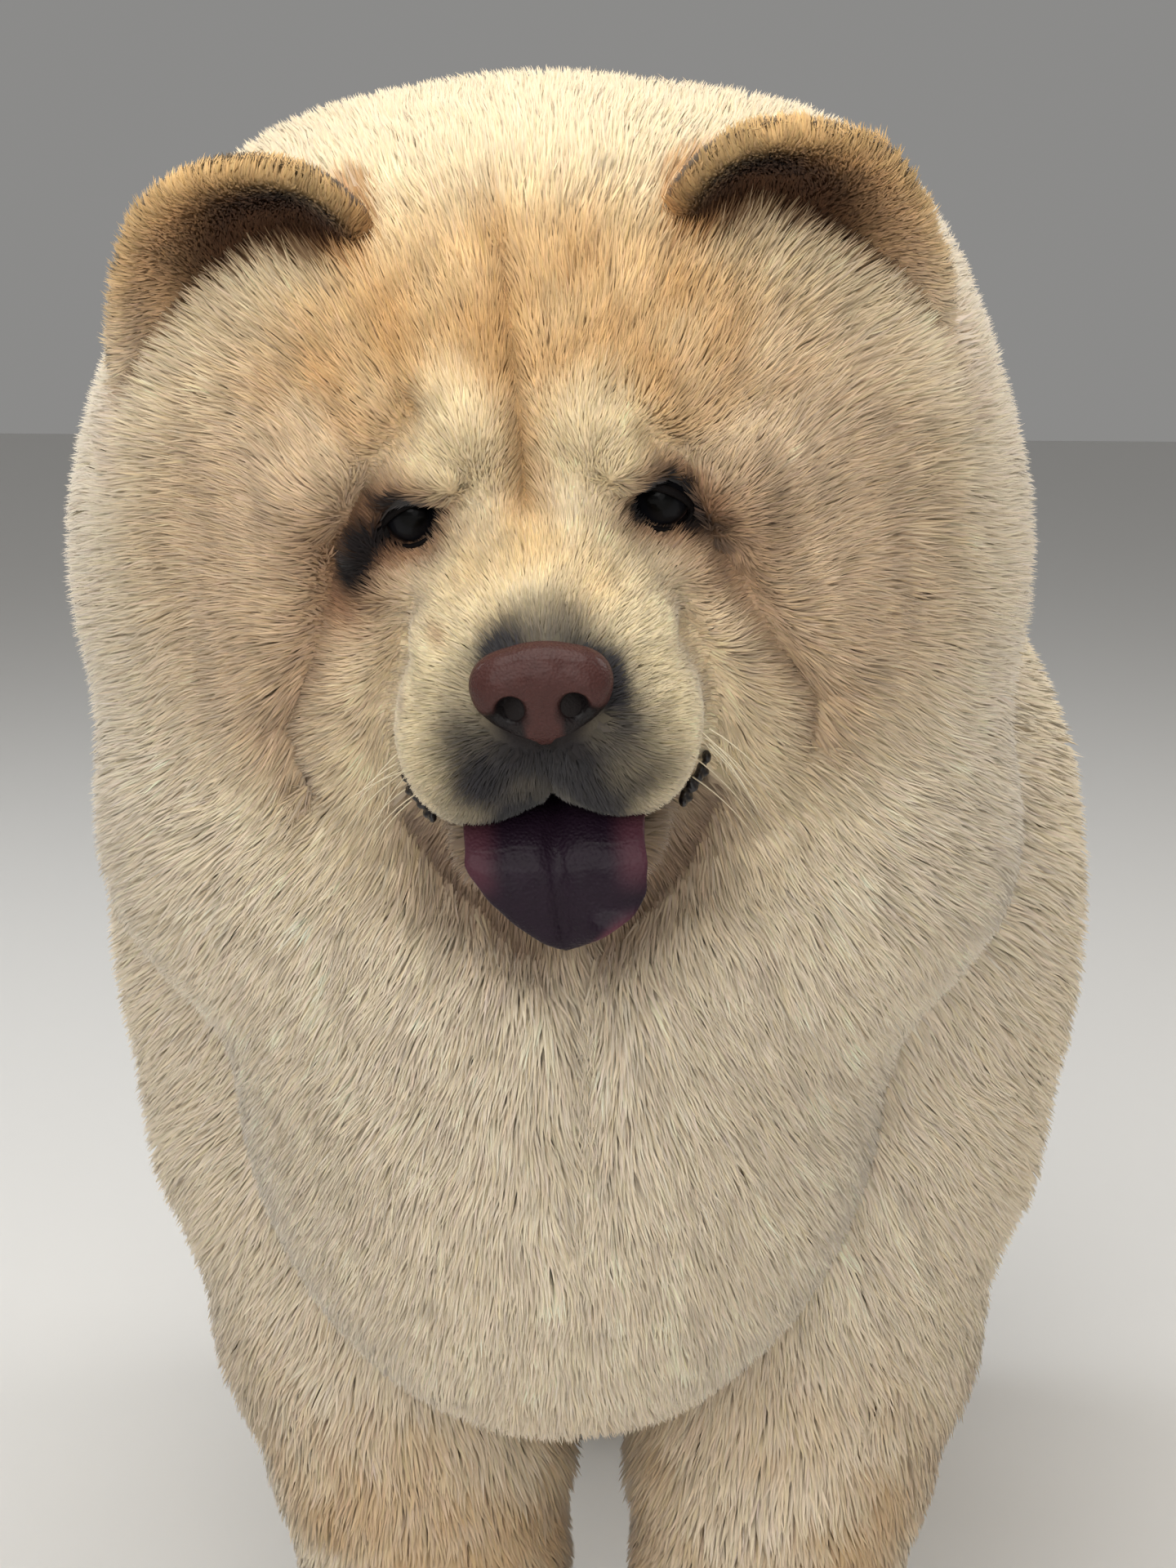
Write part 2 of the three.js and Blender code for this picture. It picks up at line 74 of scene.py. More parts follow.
def column(v):
    """A point as a column, to add to an array of 3 rows."""
    return np.asarray(v, np.float32).reshape(3, 1)


def smoothstep(low, high, x):
    """t * t * (3 - 2 t) with t = (x - low) / (high - low) held to 0..1."""
    t = np.clip((x - low) / (high - low), 0, 1)
    return t * t * (3 - 2 * t)


def length(v):
    """Length of each column."""
    return np.sqrt(v[0] * v[0] + v[1] * v[1] + v[2] * v[2])


def unit(v):
    """Each column divided by its length."""
    return v / np.maximum(length(v), 1e-9)


def unit_rows(v):
    """Each row divided by its length; one vector alone is one row."""
    return v / np.linalg.norm(v, axis=-1, keepdims=True)


def angles(count):
    """Even steps of angle round one turn."""
    return np.arange(count) * 2 * math.pi / count


def ellipsoid(p, centre, radii):
    """Near-distance to an ellipsoid: k0 (k0 - 1) / k1 with k0 = |q / r| and k1 = |q / r / r|."""
    q = [(p[i] - centre[i]) / radii[i] for i in range(3)]
    near = np.sqrt(q[0] * q[0] + q[1] * q[1] + q[2] * q[2])
    slope = np.sqrt(sum((q[i] / radii[i]) ** 2 for i in range(3)))
    return near * (near - 1) / np.maximum(slope, 1e-6)


def limb(p, a, b, ra, rb):
    """Distance to the line a..b less a radius that goes evenly from ra to rb."""
    ab = [b[i] - a[i] for i in range(3)]
    square = sum(c * c for c in ab)
    t = np.clip(sum((p[i] - a[i]) * ab[i] for i in range(3)) / square, 0, 1)
    away = np.sqrt(sum((p[i] - a[i] - ab[i] * t) ** 2 for i in range(3)))
    return away - (ra + (rb - ra) * t)


def soft(a, b, k):
    """Smooth union: min(a, b) - h h k / 4 with h = max(k - |a - b|, 0) / k."""
    h = np.maximum(k - np.abs(a - b), 0) / k
    return np.minimum(a, b) - h * h * k / 4


def carve(a, b, k):
    """Smooth cut of b out of a: -soft(-a, b)."""
    return -soft(-a, b, k)


def blend(values, k):
    """Smooth union of several values in turn."""
    whole = values[0]
    for value in values[1:]:
        whole = soft(whole, value, k)
    return whole


def chain(p, stations):
    """Limbs through stations, each (point, radius)."""
    return [limb(p, a, b, ra, rb) for (a, ra), (b, rb) in zip(stations, stations[1:])]


# The head's own frame: origin midway between the eyes, -Y out of the face
EYE_MID = np.array([-6.0, FORE_Y - 205, 540.0])
PITCH, ROLL, YAW = (math.radians(a) for a in (15, -4, 4.4))


def turn(axis, angle):
    """Rotation matrix about X, Y or Z."""
    c, s = math.cos(angle), math.sin(angle)
    i, j = ((1, 2), (2, 0), (0, 1))[axis]
    m = np.eye(3)
    m[i, i] = m[j, j] = c
    m[i, j], m[j, i] = -s, s
    return m


HEAD_TURN = turn(2, YAW) @ turn(0, PITCH) @ turn(1, ROLL)


def to_head(p):
    """Points of the whole frame in the head's own frame."""
    return HEAD_TURN.T.astype(np.float32) @ (p - column(EYE_MID))


def from_head(h):
    """Points of the head's own frame in the whole frame."""
    return HEAD_TURN @ np.asarray(h, float).reshape(3, -1) + EYE_MID.reshape(3, 1)


def face_ring(h, below):
    """Distance, seen from the front, to a point of the head's middle below the level of the eyes."""
    return np.sqrt(h[0] ** 2 + (h[2] + below) ** 2)


def mane_form(p):
    """The ruff and bib, with a lobe behind each ear."""
    return blend(
        [
            ellipsoid(p, (-14, MANE_Y, 515), (182, 125, 176)),
            ellipsoid(p, (86, MANE_Y + 8, 405), (80, 96, 76)),
            ellipsoid(p, (-108, MANE_Y + 8, 405), (80, 96, 76)),
            ellipsoid(p, (-10, MANE_Y + 5, 331), (129, 112, 168)),
            ellipsoid(p, (LEAN, FORE_Y + 12, 500), (158, 125, 158)),
            ellipsoid(p, (64, MANE_Y + 25, 596), (70, 76, 76)),
            ellipsoid(p, (-88, MANE_Y + 25, 592), (66, 76, 74)),
        ],
        40,
    )


def trunk_form(p):
    """Ribs, loin and rump, with shoulders, thighs and the breeches behind them."""
    parts = [
        ellipsoid(p, (LEAN, FORE_Y + 75, MID_Z), (188, 150, 179)),
        ellipsoid(p, (0, FORE_Y + 215, 385), (180, 190, 175)),
        ellipsoid(p, (0, HIND_Y - 30, 395), (166, 150, 167)),
    ]
    for s in SIDES:
        parts.append(ellipsoid(p, (s * 113 + LEAN, FORE_Y + 6, 360), (86, 84, 150)))
        parts.append(ellipsoid(p, (s * 98, HIND_Y, 305), (86, 112, 150)))
        parts.append(ellipsoid(p, (s * 64, HIND_Y + 58, 330), (82, 80, 120)))
    return blend(parts, 40)


def toes(p, s, paw):
    """Four knuckled toes side by side, the outer two a little back."""
    x, front = paw
    parts = [ellipsoid(p, (s * x + across, front + back, 21), (13.5, 24, 21)) for across, back in TOES]
    return blend(parts, 3)


def leg_form(p, s, stations, ankle, paw):
    """Limbs through a leg's stations, run into its ankle and its toes."""
    return soft(blend([*chain(p, stations), ankle], 18), toes(p, s, paw), 7)


def fore_form(p, s):
    """A foreleg, from the elbow down."""
    stations = [
        ((s * 98 + LEAN, FORE_Y, 262), 82),
        ((s * 86 + LEAN / 2, FORE_Y, 187), 71),
        ((s * 76, FORE_Y, 133), 62),
        ((s * FORE_X, FORE_Y + 2, 78), 54),
        ((s * FORE_X, FORE_Y + 2, 50), 49),
    ]
    ankle = ellipsoid(p, (s * FORE_X, FORE_Y - 4, 34), (46, 50, 40))
    return leg_form(p, s, stations, ankle, FORE_PAW)


def hind_form(p, s):
    """A hind leg, from the knee down."""
    stations = [
        ((s * 94, HIND_Y + 20, 250), 80),
        ((s * 84, HIND_Y + 34, 140), 60),
        ((s * HIND_X, HIND_Y + 20, 58), 47),
    ]
    ankle = ellipsoid(p, (s * HIND_X, HIND_Y + 8, 33), (43, 50, 38))
    return leg_form(p, s, stations, ankle, HIND_PAW)


def skull_form(h):
    """Skull, cheeks, brows, the fold from brow to jowl at each side, and the muzzle with its lips."""
    parts = [ellipsoid(h, (0, 85, 0), (152, 97, 112))]
    for s in SIDES:
        parts.append(ellipsoid(h, (s * 56, 34, -62), (56, 42, 54)))
        parts.append(ellipsoid(h, (s * 25, 4, 27), (17, 15, 20)))
        fold = [
            ((s * 40, 14, 24), 17),
            ((s * 66, 20, 4), 22),
            ((s * 84, 30, -34), 25),
            ((s * 84, 36, -66), 25),
        ]
        parts.extend(chain(h, fold))
    parts.append(limb(h, (0, -54, -39), (0, 4, -28), 21, 30))
    parts.append(ellipsoid(h, (0, -30, -54), (47, 39, 28)))
    parts.append(ellipsoid(h, (0, -24, -32), (45, 33, 24)))
    parts.append(ellipsoid(h, (0, -8, -14), (34, 22, 22)))
    for s in SIDES:
        parts.append(ellipsoid(h, (s * 24, -34, -61), (27, 36, 32)))
    return blend(parts, 14)


def jaw_form(h):
    """The lower jaw: the chin and the throat behind it."""
    chin = ellipsoid(h, (0, -28, -106), (37, 36, 20))
    return soft(chin, ellipsoid(h, (0, 10, -104), (44, 46, 32)), 16)


# Ears: a leaf about its root, with a hollow towards the front
EAR_ROOT = np.array([98.0, 60, 54])
EAR_ALONG = np.array([0.72, 0.26, -0.64])
EAR_ALONG /= np.linalg.norm(EAR_ALONG)
EAR_UP = np.array([0.62, -0.12, 0.77])
EAR_UP -= EAR_ALONG * (EAR_UP @ EAR_ALONG)
EAR_UP /= np.linalg.norm(EAR_UP)
EAR_FRONT = np.cross(EAR_ALONG, EAR_UP)
EAR_HALF, EAR_HIGH = 65.0, 56.0
EAR_BOWL = ((-22, 12, 8), (31, 20, 19))


def ear_frame(h, s):
    """Place on an ear's leaf: u along and v up it, how far out they are, 1 at the rim, and the millimetres
    along, up and out of its face. The last term of the distance rounds off the outer top corner."""
    d = [h[0] * s - EAR_ROOT[0], h[1] - EAR_ROOT[1], h[2] - EAR_ROOT[2]]
    place = [sum(d[i] * axis[i] for i in range(3)) for axis in (EAR_ALONG, EAR_UP, EAR_FRONT)]
    v = place[1] / np.where(place[1] > 0, EAR_HIGH, EAR_HIGH * 0.45)
    u = (place[0] + 12 * np.maximum(v, 0)) / EAR_HALF
    return u, v, np.sqrt(u * u + v * v + 0.5 * np.maximum(u, 0) * np.maximum(v, 0)), place


def ear_form(h, s):
    """A rounded disc 9.5 thick either way about a dished leaf, less the hollow at its front."""
    _, _, r, place = ear_frame(h, s)
    dish = -20 * (1 - r * r)
    edge = np.maximum(r - 0.84, 0) * 60
    leaf = np.sqrt((place[2] - dish * (r < 1.3)) ** 2 + edge * edge) - 9.5
    return carve(leaf, ellipsoid(place, *EAR_BOWL), 6)


def spline(points, count):
    """Points along a smooth curve through the given ones (Catmull-Rom)."""
    points = np.array(points, float)
    ends = np.vstack([2 * points[0] - points[1], points, 2 * points[-1] - points[-2]])
    s = np.linspace(0, len(points) - 1, count)
    i = np.minimum(s.astype(int), len(points) - 2)
    t = (s - i)[:, None]
    a, b, c, d = (ends[i + k] for k in range(4))
    return 0.5 * (2 * b + (c - a) * t + (2 * a - 5 * b + 4 * c - d) * t**2 + (3 * b - a - 3 * c + d) * t**3)


# The tail's middle line and its radius there
TAIL = spline(
    [
        (0, HIND_Y + 40, 490, 42),
        (0, HIND_Y + 72, 560, 62),
        (4, HIND_Y + 40, 606, 72),
        (14, HIND_Y - 35, 616, 73),
        (22, HIND_Y - 108, 602, 60),
        (28, HIND_Y - 158, 586, 34),
    ],
    12,
)


def tail_form(p):
    """The tail, curled over the back, as wide as its coat."""
    stations = [(tuple(row[:3]), row[3]) for row in TAIL]
    return blend(chain(p, stations), 6)


# Eyes, and the opening of the lids: its half width and half height, and its middle from the eyeball's
EYE_AT = (41.5, 5.0, 3.0)
EYE_RADIUS = 10.5
EYE_OPEN = (12.2, 8.5)
OPEN_SHIFT = (0.6, -1.2)
SLANT = math.radians(30)

# The mouth's gap and the room of the nose leather, as centre and radii in the head's own frame
MOUTH = ((0, -20, -93), (52, 60, 6.5))
NOSE_ROOM = ((0, -68, -37), (20, 20, 16))


def eye_frame(h, s):
    """Place round an eye's opening: a along its slant, outwards and down, and b across it, upwards."""
    x = h[0] * s - EYE_AT[0] - OPEN_SHIFT[0]
    z = h[2] - EYE_AT[2] - OPEN_SHIFT[1]
    return x * math.cos(SLANT) - z * math.sin(SLANT), x * math.sin(SLANT) + z * math.cos(SLANT)


def eye_round(h, s, half, high):
    """Distance from the middle of an eye's opening, 1 on the oval with the given half sizes."""
    a, b = eye_frame(h, s)
    return np.sqrt((a / half) ** 2 + (b / high) ** 2)


# Lines of the face as (x, z) in the head's own frame
CHEEK_FOLDS = {
    1: [(28, 38), (44, 18), (58, -9), (64, -27), (75, -51), (86, -71), (84, -92)],
    -1: [(-36, 36), (-52, 18), (-66, -6), (-72, -30), (-78, -50), (-88, -72), (-84, -98)],
}
FOREHEAD_CREASE = [(-3, 8), (-3, 36), (-4, 53), (-5, 76)]
# The parting down the bib, in the whole frame
BIB_PARTING = [(2, 425), (8, 340), (4, 280)]


def groove(h, path, deep, wide):
    """A groove drawn on the front: deep * exp(-(d / wide)^2), with d the distance to a path of (x, z)
    as seen along y."""
    flat = (h[0], np.zeros_like(h[0]), h[2])
    d = blend(chain(flat, [((x, 0, z), 0.0) for x, z in path]), 2)
    return deep * np.exp(-((d / wide) ** 2))


def bump_at(h, centre, high, wide):
    """A round swelling of the front: high * exp(-(d / wide)^2), d seen along y."""
    square = (h[0] - centre[0]) ** 2 + (h[2] - centre[1]) ** 2
    return high * np.exp(-square / wide**2)


def face_relief(h):
    """What the folds, lids and clefts of the face add to the outline, in millimetres outwards."""
    lift = -groove(h, FOREHEAD_CREASE, 5.0, 4.5)
    lift -= groove(h, [(0, -52), (0, -78)], 2.2, 2.8)
    for s in SIDES:
        lift += bump_at(h, (s * 23, 29), 5.0, 13)
        lift -= bump_at(h, (s * 45, -2), 4.5, 15)
        lift += groove(h, [(s * 28, 18), (s * 43, 15), (s * 55, 3), (s * 61, -9)], 4.5, 4.5)
        lift -= groove(h, CHEEK_FOLDS[s], 7.5, 7.0)
        lift += groove(h, [(s * 33, -15), (s * 45, -19), (s * 54, -23)], 2.5, 4.5)
        lift += bump_at(h, (s * 66, -46), 3.5, 18)
        lift -= groove(h, [(s * 46, -38), (s * 55, -58), (s * 55, -88)], 3.5, 6.0)
        lift += bump_at(h, (s * 32, -68), 2.0, 18)
        lift -= groove(h, [(s * 52, -106), (s * 40, -134), (s * 14, -160)], 5.5, 10.0)
        lift -= groove(h, [(s * 96, 66), (s * 116, 34)], 3.0, 8.0)
    return lift * smoothstep(60, 25, h[1])


def skin_depth(p, h):
    """The coat's depth, from the skin out to the tips, in millimetres."""
    face = 3.2 + 14 * smoothstep(52, 150, face_ring(h, 20)) + 6 * smoothstep(20, 80, h[1])
    face = np.where(h[2] < -95, np.maximum(face, 4 + 0.25 * (-95 - h[2])), face)
    legs = 4.0 + 10 * smoothstep(30, 190, p[2])
    return np.minimum(np.minimum(face, legs), 15.0)


EAR_DEPTH = 3.4


def outline(p, skin=False):
    """The outline at the coat's tips, or with skin the same less the coat's depth. Negative inside."""
    h = to_head(p)
    front = soft(mane_form(p), skull_form(h), 32)
    rear = [trunk_form(p), *[fore_form(p, s) for s in SIDES], *[hind_form(p, s) for s in SIDES]]
    body = soft(front, blend(rear, 26), 9 + 26 * smoothstep(400, 540, p[2]))
    body = soft(body, tail_form(p), 12)
    body = soft(body, jaw_form(h), 6) - face_relief(h)
    parting = groove(p, BIB_PARTING, 4.5, 10.0) * smoothstep(MANE_Y, MANE_Y - 40, p[1])
    body = body + parting
    ears = np.minimum(ear_form(h, 1), ear_form(h, -1))
    if skin:
        body = body + skin_depth(p, h)
        ears = ears + EAR_DEPTH
    whole = soft(body, ears, 8)
    for s in SIDES:
        hole = (eye_round(h, s, *EYE_OPEN) - 1) * EYE_OPEN[1]
        whole = carve(whole, np.maximum(hole, h[1] - 9), 3)
    whole = carve(whole, ellipsoid(h, *MOUTH), 3)
    return np.maximum(whole, 0.4 - p[2])


def mesh_of(field, axes):
    """The zero surface of a field over a grid of axes, faces outwards. Only blocks of cells near the
    surface are sampled, and each vertex is then moved onto it: p - f g / |g|^2, three times."""
    block, far, steps = 8, 20, 3
    counts = [int(math.ceil((len(a) - 1) / block)) for a in axes]
    axes = [np.interp(np.arange(n * block + 1), np.arange(len(a)), a) for a, n in zip(axes, counts)]
    for a in axes:
        a += np.arange(len(a)) * 1e-6
    mids = [(a[:-1:block] + a[block::block]) / 2 for a in axes]
    halves = [(a[block::block] - a[:-1:block]) / 2 for a in axes]
    grid = np.stack(np.meshgrid(*mids, indexing="ij")).reshape(3, -1).astype(np.float32)
    reach = np.sqrt(sum(g**2 for g in np.meshgrid(*halves, indexing="ij"))).reshape(-1)
    value = field(grid)
    near = np.flatnonzero(np.abs(value) < reach * 1.6 + 14)
    values = np.repeat(np.repeat(np.repeat(value.reshape(counts), block, 0), block, 1), block, 2)
    values = np.pad(values, ((0, 1), (0, 1), (0, 1)), mode="edge").astype(np.float32)
    values = np.sign(values) * np.maximum(np.abs(values), far)
    cell = np.stack(np.meshgrid(*[np.arange(block + 1)] * 3, indexing="ij")).reshape(3, -1)
    base = np.stack(np.unravel_index(near, counts)) * block
    batch = 1500
    for first in range(0, len(near), batch):
        index = base[:, first : first + batch, None] + cell[:, None, :]
        points = np.stack([axes[k][index[k]] for k in range(3)]).reshape(3, -1).astype(np.float32)
        values[index[0], index[1], index[2]] = field(points).reshape(index.shape[1:])
    volume = openvdb.FloatGrid(float(far))
    volume.copyFromArray(values)
    points, quads = volume.convertToQuads(isovalue=0.0)
    place = np.stack([np.interp(points[:, k], np.arange(len(axes[k])), axes[k]) for k in range(3)])
    for _ in range(steps):
        value = field(place.astype(np.float32))
        slope = gradient(field, place)
        place = place - np.clip(value / np.maximum((slope**2).sum(0), 0.2), -3, 3) * slope
    quads = quads.astype(np.int64)
    return place, quads if volume_of(place, quads) > 0 else quads[:, ::-1]


def volume_of(points, quads):
    """Volume inside a closed mesh of quads: sum of a . (b x c) / 6 over its triangles."""
    a, b, c, d = (points[:, quads[:, k]] for k in range(4))
    return float(((a * np.cross(b, c, axis=0)).sum() + (a * np.cross(c, d, axis=0)).sum()) / 6)


def gradient(field, p, e=0.4):
    """Central differences of the field."""
    out = np.zeros_like(p)
    for k in range(3):
        step = np.zeros((3, 1))
        step[k] = e
        out[k] = (field((p + step).astype(np.float32)) - field((p - step).astype(np.float32))) / (2 * e)
    return out


def steps_between(low, high, fine_low, fine_high, fine, coarse):
    """Samples from low to high, fine apart between fine_low and fine_high and growing to coarse beyond."""
    out = list(np.arange(fine_low, fine_high + fine, fine))
    for sign, end in ((-1, low), (1, high)):
        step = fine
        while (out[0] > end) if sign < 0 else (out[-1] < end):
            step = min(step * 1.12, coarse)
            out = [out[0] - step, *out] if sign < 0 else [*out, out[-1] + step]
    return np.array(out)


def add_mesh(name, points, faces, material):
    """A mesh object from points in millimetres (3 rows) and faces, riding on the root."""
    mesh = bpy.data.meshes.new(name)
    points = np.asarray(points, np.float32) * MM
    faces = np.asarray(faces, np.int32)
    mesh.vertices.add(points.shape[1])
    mesh.vertices.foreach_set("co", np.ascontiguousarray(points.T).ravel())
    mesh.loops.add(faces.size)
    mesh.loops.foreach_set("vertex_index", faces.ravel())
    mesh.polygons.add(len(faces))
    mesh.polygons.foreach_set("loop_start", np.arange(0, faces.size, faces.shape[1], dtype=np.int32))
    mesh.polygons.foreach_set("use_smooth", np.full(len(faces), True))
    mesh.update(calc_edges=True)
    mesh.materials.append(material)
    piece = bpy.data.objects.new(name, mesh)
    bpy.context.scene.collection.objects.link(piece)
    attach(piece, "root")
    return piece


def add_colour(piece, name, colours):
    """A colour for each vertex, linear, from 3 rows."""
    layer = piece.data.color_attributes.new(name, "FLOAT_COLOR", "POINT")
    rgba = np.ones((colours.shape[1], 4), np.float32)
    rgba[:, :3] = colours.T
    layer.data.foreach_set("color", rgba.ravel())


def add_value(piece, name, values):
    """A number for each vertex."""
    layer = piece.data.attributes.new(name, "FLOAT", "POINT")
    layer.data.foreach_set("value", np.asarray(values, np.float32))


def ripple(p, size, seed, waves=9):
    """Smooth noise about -1..1: a mean of sines of k.p + phase, with k in random directions and
    wavelengths near size."""
    pick = np.random.default_rng(seed)
    total = 0
    for _ in range(waves):
        k = pick.normal(size=3)
        k *= 2 * math.pi / (size * pick.uniform(0.7, 1.5)) / np.linalg.norm(k)
        total = total + np.sin(k[0] * p[0] + k[1] * p[1] + k[2] * p[2] + pick.uniform(0, 2 * math.pi))
    return total / math.sqrt(waves / 2) * 0.6


# Markings, and colours of painted shade
CREAM = srgb(247, 226, 188)
WHITE_CREAM = srgb(245, 230, 206)
GOLD = srgb(231, 196, 141)
TAN = srgb(202, 158, 104)
PALE = srgb(240, 217, 174)
MUZZLE = srgb(238, 219, 178)
EYE_BROWN_AND_FOLD_SHADE = srgb(150, 108, 76)
BEIGE = srgb(222, 190, 156)
CHARCOAL = srgb(50, 48, 50)
SOOT = srgb(26, 20, 20)
CINNAMON = srgb(206, 168, 120)
JAW_SHADE = srgb(132, 106, 86)
EAR_RIM = srgb(236, 200, 142)
EAR_TAN = srgb(192, 140, 84)
EAR_HOLLOW_SHADE = srgb(70, 42, 24)


def markings(p):
    """The coat's colour at points of the whole frame: zones laid over one another by smooth weights, with
    painted shade in the cheek folds, the forehead crease, the ear hollows and on the jaw under the lips.
    """
    h = to_head(p)
    mix = np.repeat(CREAM.reshape(3, 1), p.shape[1], 1)

    def lay(colour, weight):
        nonlocal mix
        mix = mix + (colour.reshape(3, 1) - mix) * np.clip(weight, 0, 1)

    def spot(centre, radii, edge=0.55):
        d = np.sqrt(sum(((h[i] - centre[i]) / radii[i]) ** 2 for i in range(3)))
        return 1 - smoothstep(1 - edge, 1 + edge, d)

    broad = ripple(p, 90, 3)
    fine = ripple(p, 24, 4)
    front = smoothstep(FORE_Y + 20, FORE_Y - 60, p[1])
    ring = np.sqrt((h[0] / 1.05) ** 2 + (h[2] * 0.9) ** 2)
    lay(WHITE_CREAM, front * smoothstep(95, 170, ring) * 0.8)
    low = smoothstep(230, 120, p[2])
    lay(CINNAMON, low * np.clip(0.4 + 0.4 * broad + 0.2 * fine, 0, 0.75))
    lay(PALE, smoothstep(90, 20, p[2]) * 0.7)
    lay(WHITE_CREAM, smoothstep(HIND_Y + 60, HIND_Y + 120, p[1]) * 0.6)
    saddle = smoothstep(470, 560, p[2]) * smoothstep(FORE_Y - 60, FORE_Y + 60, p[1])
    lay(GOLD, saddle * (0.25 + 0.25 * broad))
    face = smoothstep(70, 20, h[1])
    lay(GOLD, spot((0, 10, 95), (120, 90, 60)) * 0.7 * face)
    lay(TAN, spot((0, -5, 66), (66, 60, 44)) * (0.62 + 0.25 * fine) * face)
    for s in SIDES:
        lay(TAN, spot((s * 58, 5, 44), (40, 40, 24)) * (0.5 + 0.25 * fine) * face)
        lay(BEIGE, spot((s * 100, 30, -20), (60, 70, 62)) * 0.7 * face)
        lay(EYE_BROWN_AND_FOLD_SHADE, spot((s * 58, 0, -8), (22, 40, 24)) * 0.5)
        # Painted shade along the cheek fold.
        lay(EYE_BROWN_AND_FOLD_SHADE, groove(h, CHEEK_FOLDS[s][2:], 0.5, 9.0) * face)
        lay(PALE, spot((s * 23, -12, 28), (17, 26, 19)) * 0.9)
    # Painted shade in the crease between the brows.
    lay(TAN, groove(h, FOREHEAD_CREASE, 0.7, 7.0) * face)
    lay(TAN, spot((-3, -16, 6), (9, 24, 22), 0.7) * 0.5)
    lay(MUZZLE, spot((0, -50, -48), (58, 50, 46), 0.35))
    lay(GOLD, spot((0, -34, -8), (32, 30, 15)) * (0.45 + 0.3 * fine))
    # Painted shade: brown-grey shade on the jaw under the lips, and along its creases beside the tongue.
    lay(JAW_SHADE, spot((0, -30, -122), (60, 70, 36), 0.45) * 0.9)
    for s in SIDES:
        lay(JAW_SHADE, groove(h, [(s * 48, -104), (s * 38, -130), (s * 14, -158)], 0.85, 12.0) * face)
    shade = 0.95 + 0.3 * fine
    lay(CHARCOAL, spot((0, -64, -42), (31, 26, 28), 0.35) * shade * 0.95)
    lay(CHARCOAL, spot((0, -70, -60), (37, 20, 16), 0.45) * shade * 0.85)
    lay(CHARCOAL, spot((0, -58, -75), (31, 30, 20), 0.5) * np.clip(shade, 0.8, 1))
    lay(CHARCOAL, spot((1, -53, -16), (17, 13, 9), 0.6) * shade * 0.7)
    lay(SOOT, spot((0, -66, -40), (17, 20, 14), 0.25))
    for s in SIDES:
        near = eye_round(h, s, 15.5, 11.5) + smoothstep(20, 40, h[1]) * 4
        lay(EYE_BROWN_AND_FOLD_SHADE, (1 - smoothstep(0.95, 1.6, near + 0.1 * fine)) * 0.8)
        lay(SOOT, 1 - smoothstep(0.85, 1.12, near + 0.08 * ripple(p, 5, 71)))
        lay(SOOT, spot((s * 54, -5, -8), (8, 20, 6.5), 0.6) * 0.9)
    lay(EYE_BROWN_AND_FOLD_SHADE, groove(h, [(-52, -4), (-60, -14), (-64, -28)], 0.8, 9.0) * face)
    lay(SOOT, groove(h, [(-49, -1), (-56, -6), (-61, -18)], 1.25, 6.4) * face)
    lay(EYE_BROWN_AND_FOLD_SHADE, spot((-30, -34, -25), (4, 12, 3), 0.8) * 0.8)
    lay(EYE_BROWN_AND_FOLD_SHADE, spot((-48, -47, -46), (4, 12, 3), 0.8) * 0.6)
    lay(SOOT, 1 - smoothstep(0, 5, ellipsoid(h, *MOUTH) + 1.5))
    for s in SIDES:
        u, v, r, place = ear_frame(h, s)
        on_ear = 1 - smoothstep(2, 16, ear_form(h, s))
        lay(EAR_TAN, on_ear * (0.55 + 0.4 * smoothstep(0.9, -0.5, u)))
        # Painted shade: the ear's hollow darkened to deep brown.
        lay(EAR_HOLLOW_SHADE, on_ear * (1 - smoothstep(4, 15, ellipsoid(place, *EAR_BOWL))) * 0.95)
        lay(EAR_RIM, on_ear * smoothstep(0.72, 0.98, r) * smoothstep(-0.2, 0.4, v) * 0.8)
        lay(WHITE_CREAM, on_ear * smoothstep(0.25, 0.95, u) * 0.65)
    return np.clip(mix * (1 + 0.035 * ripple(p, 9, 5)), 0, 1)


# The skin, on a grid that is finest round the face
AXES = (
    steps_between(-210, 215, -78, 66, 1.9, 6.0),
    steps_between(-425, 412, -412, -322, 1.9, 6.5),
    steps_between(-6, 705, 418, 612, 1.9, 6.0),
)
skin_points, skin_quads = mesh_of(lambda p: outline(p, skin=True), AXES)


# Materials
def shader(name, **sockets):
    """A material with one Principled BSDF, its sockets set by name with _ for a space."""
    material = bpy.data.materials.new(name)
    material.use_nodes = True
    bsdf = material.node_tree.nodes["Principled BSDF"]
    for socket, value in sockets.items():
        bsdf.inputs[socket.replace("_", " ")].default_value = value
    return material, material.node_tree, bsdf


def node(tree, kind, sockets=None, **settings):
    """A shader node with its properties set, and its sockets set or linked."""
    made = tree.nodes.new("ShaderNode" + kind)
    for key, value in settings.items():
        setattr(made, key, value)
    for key, value in (sockets or {}).items():
        if isinstance(value, bpy.types.NodeSocket):
            tree.links.new(value, made.inputs[key])
        else:
            made.inputs[key].default_value = value
    return made


def attribute(tree, name, output="Fac"):
    """A value, or with Color a colour, that each vertex of the piece carries."""
    return node(tree, "Attribute", attribute_name=name).outputs[output]


def paint(tree, bsdf, colour):
    """Gives the shader its base colour."""
    tree.links.new(colour, bsdf.inputs["Base Color"])


def noise(tree, scale, detail=3.0, stretch=None):
    """Noise on object coordinates, in metres; stretch scales each axis first."""
    place = node(tree, "TexCoord").outputs["Object"]
    if stretch:
        place = node(tree, "Mapping", {"Vector": place, "Scale": stretch}).outputs["Vector"]
    return node(tree, "TexNoise", {"Vector": place, "Scale": scale, "Detail": detail}).outputs["Fac"]


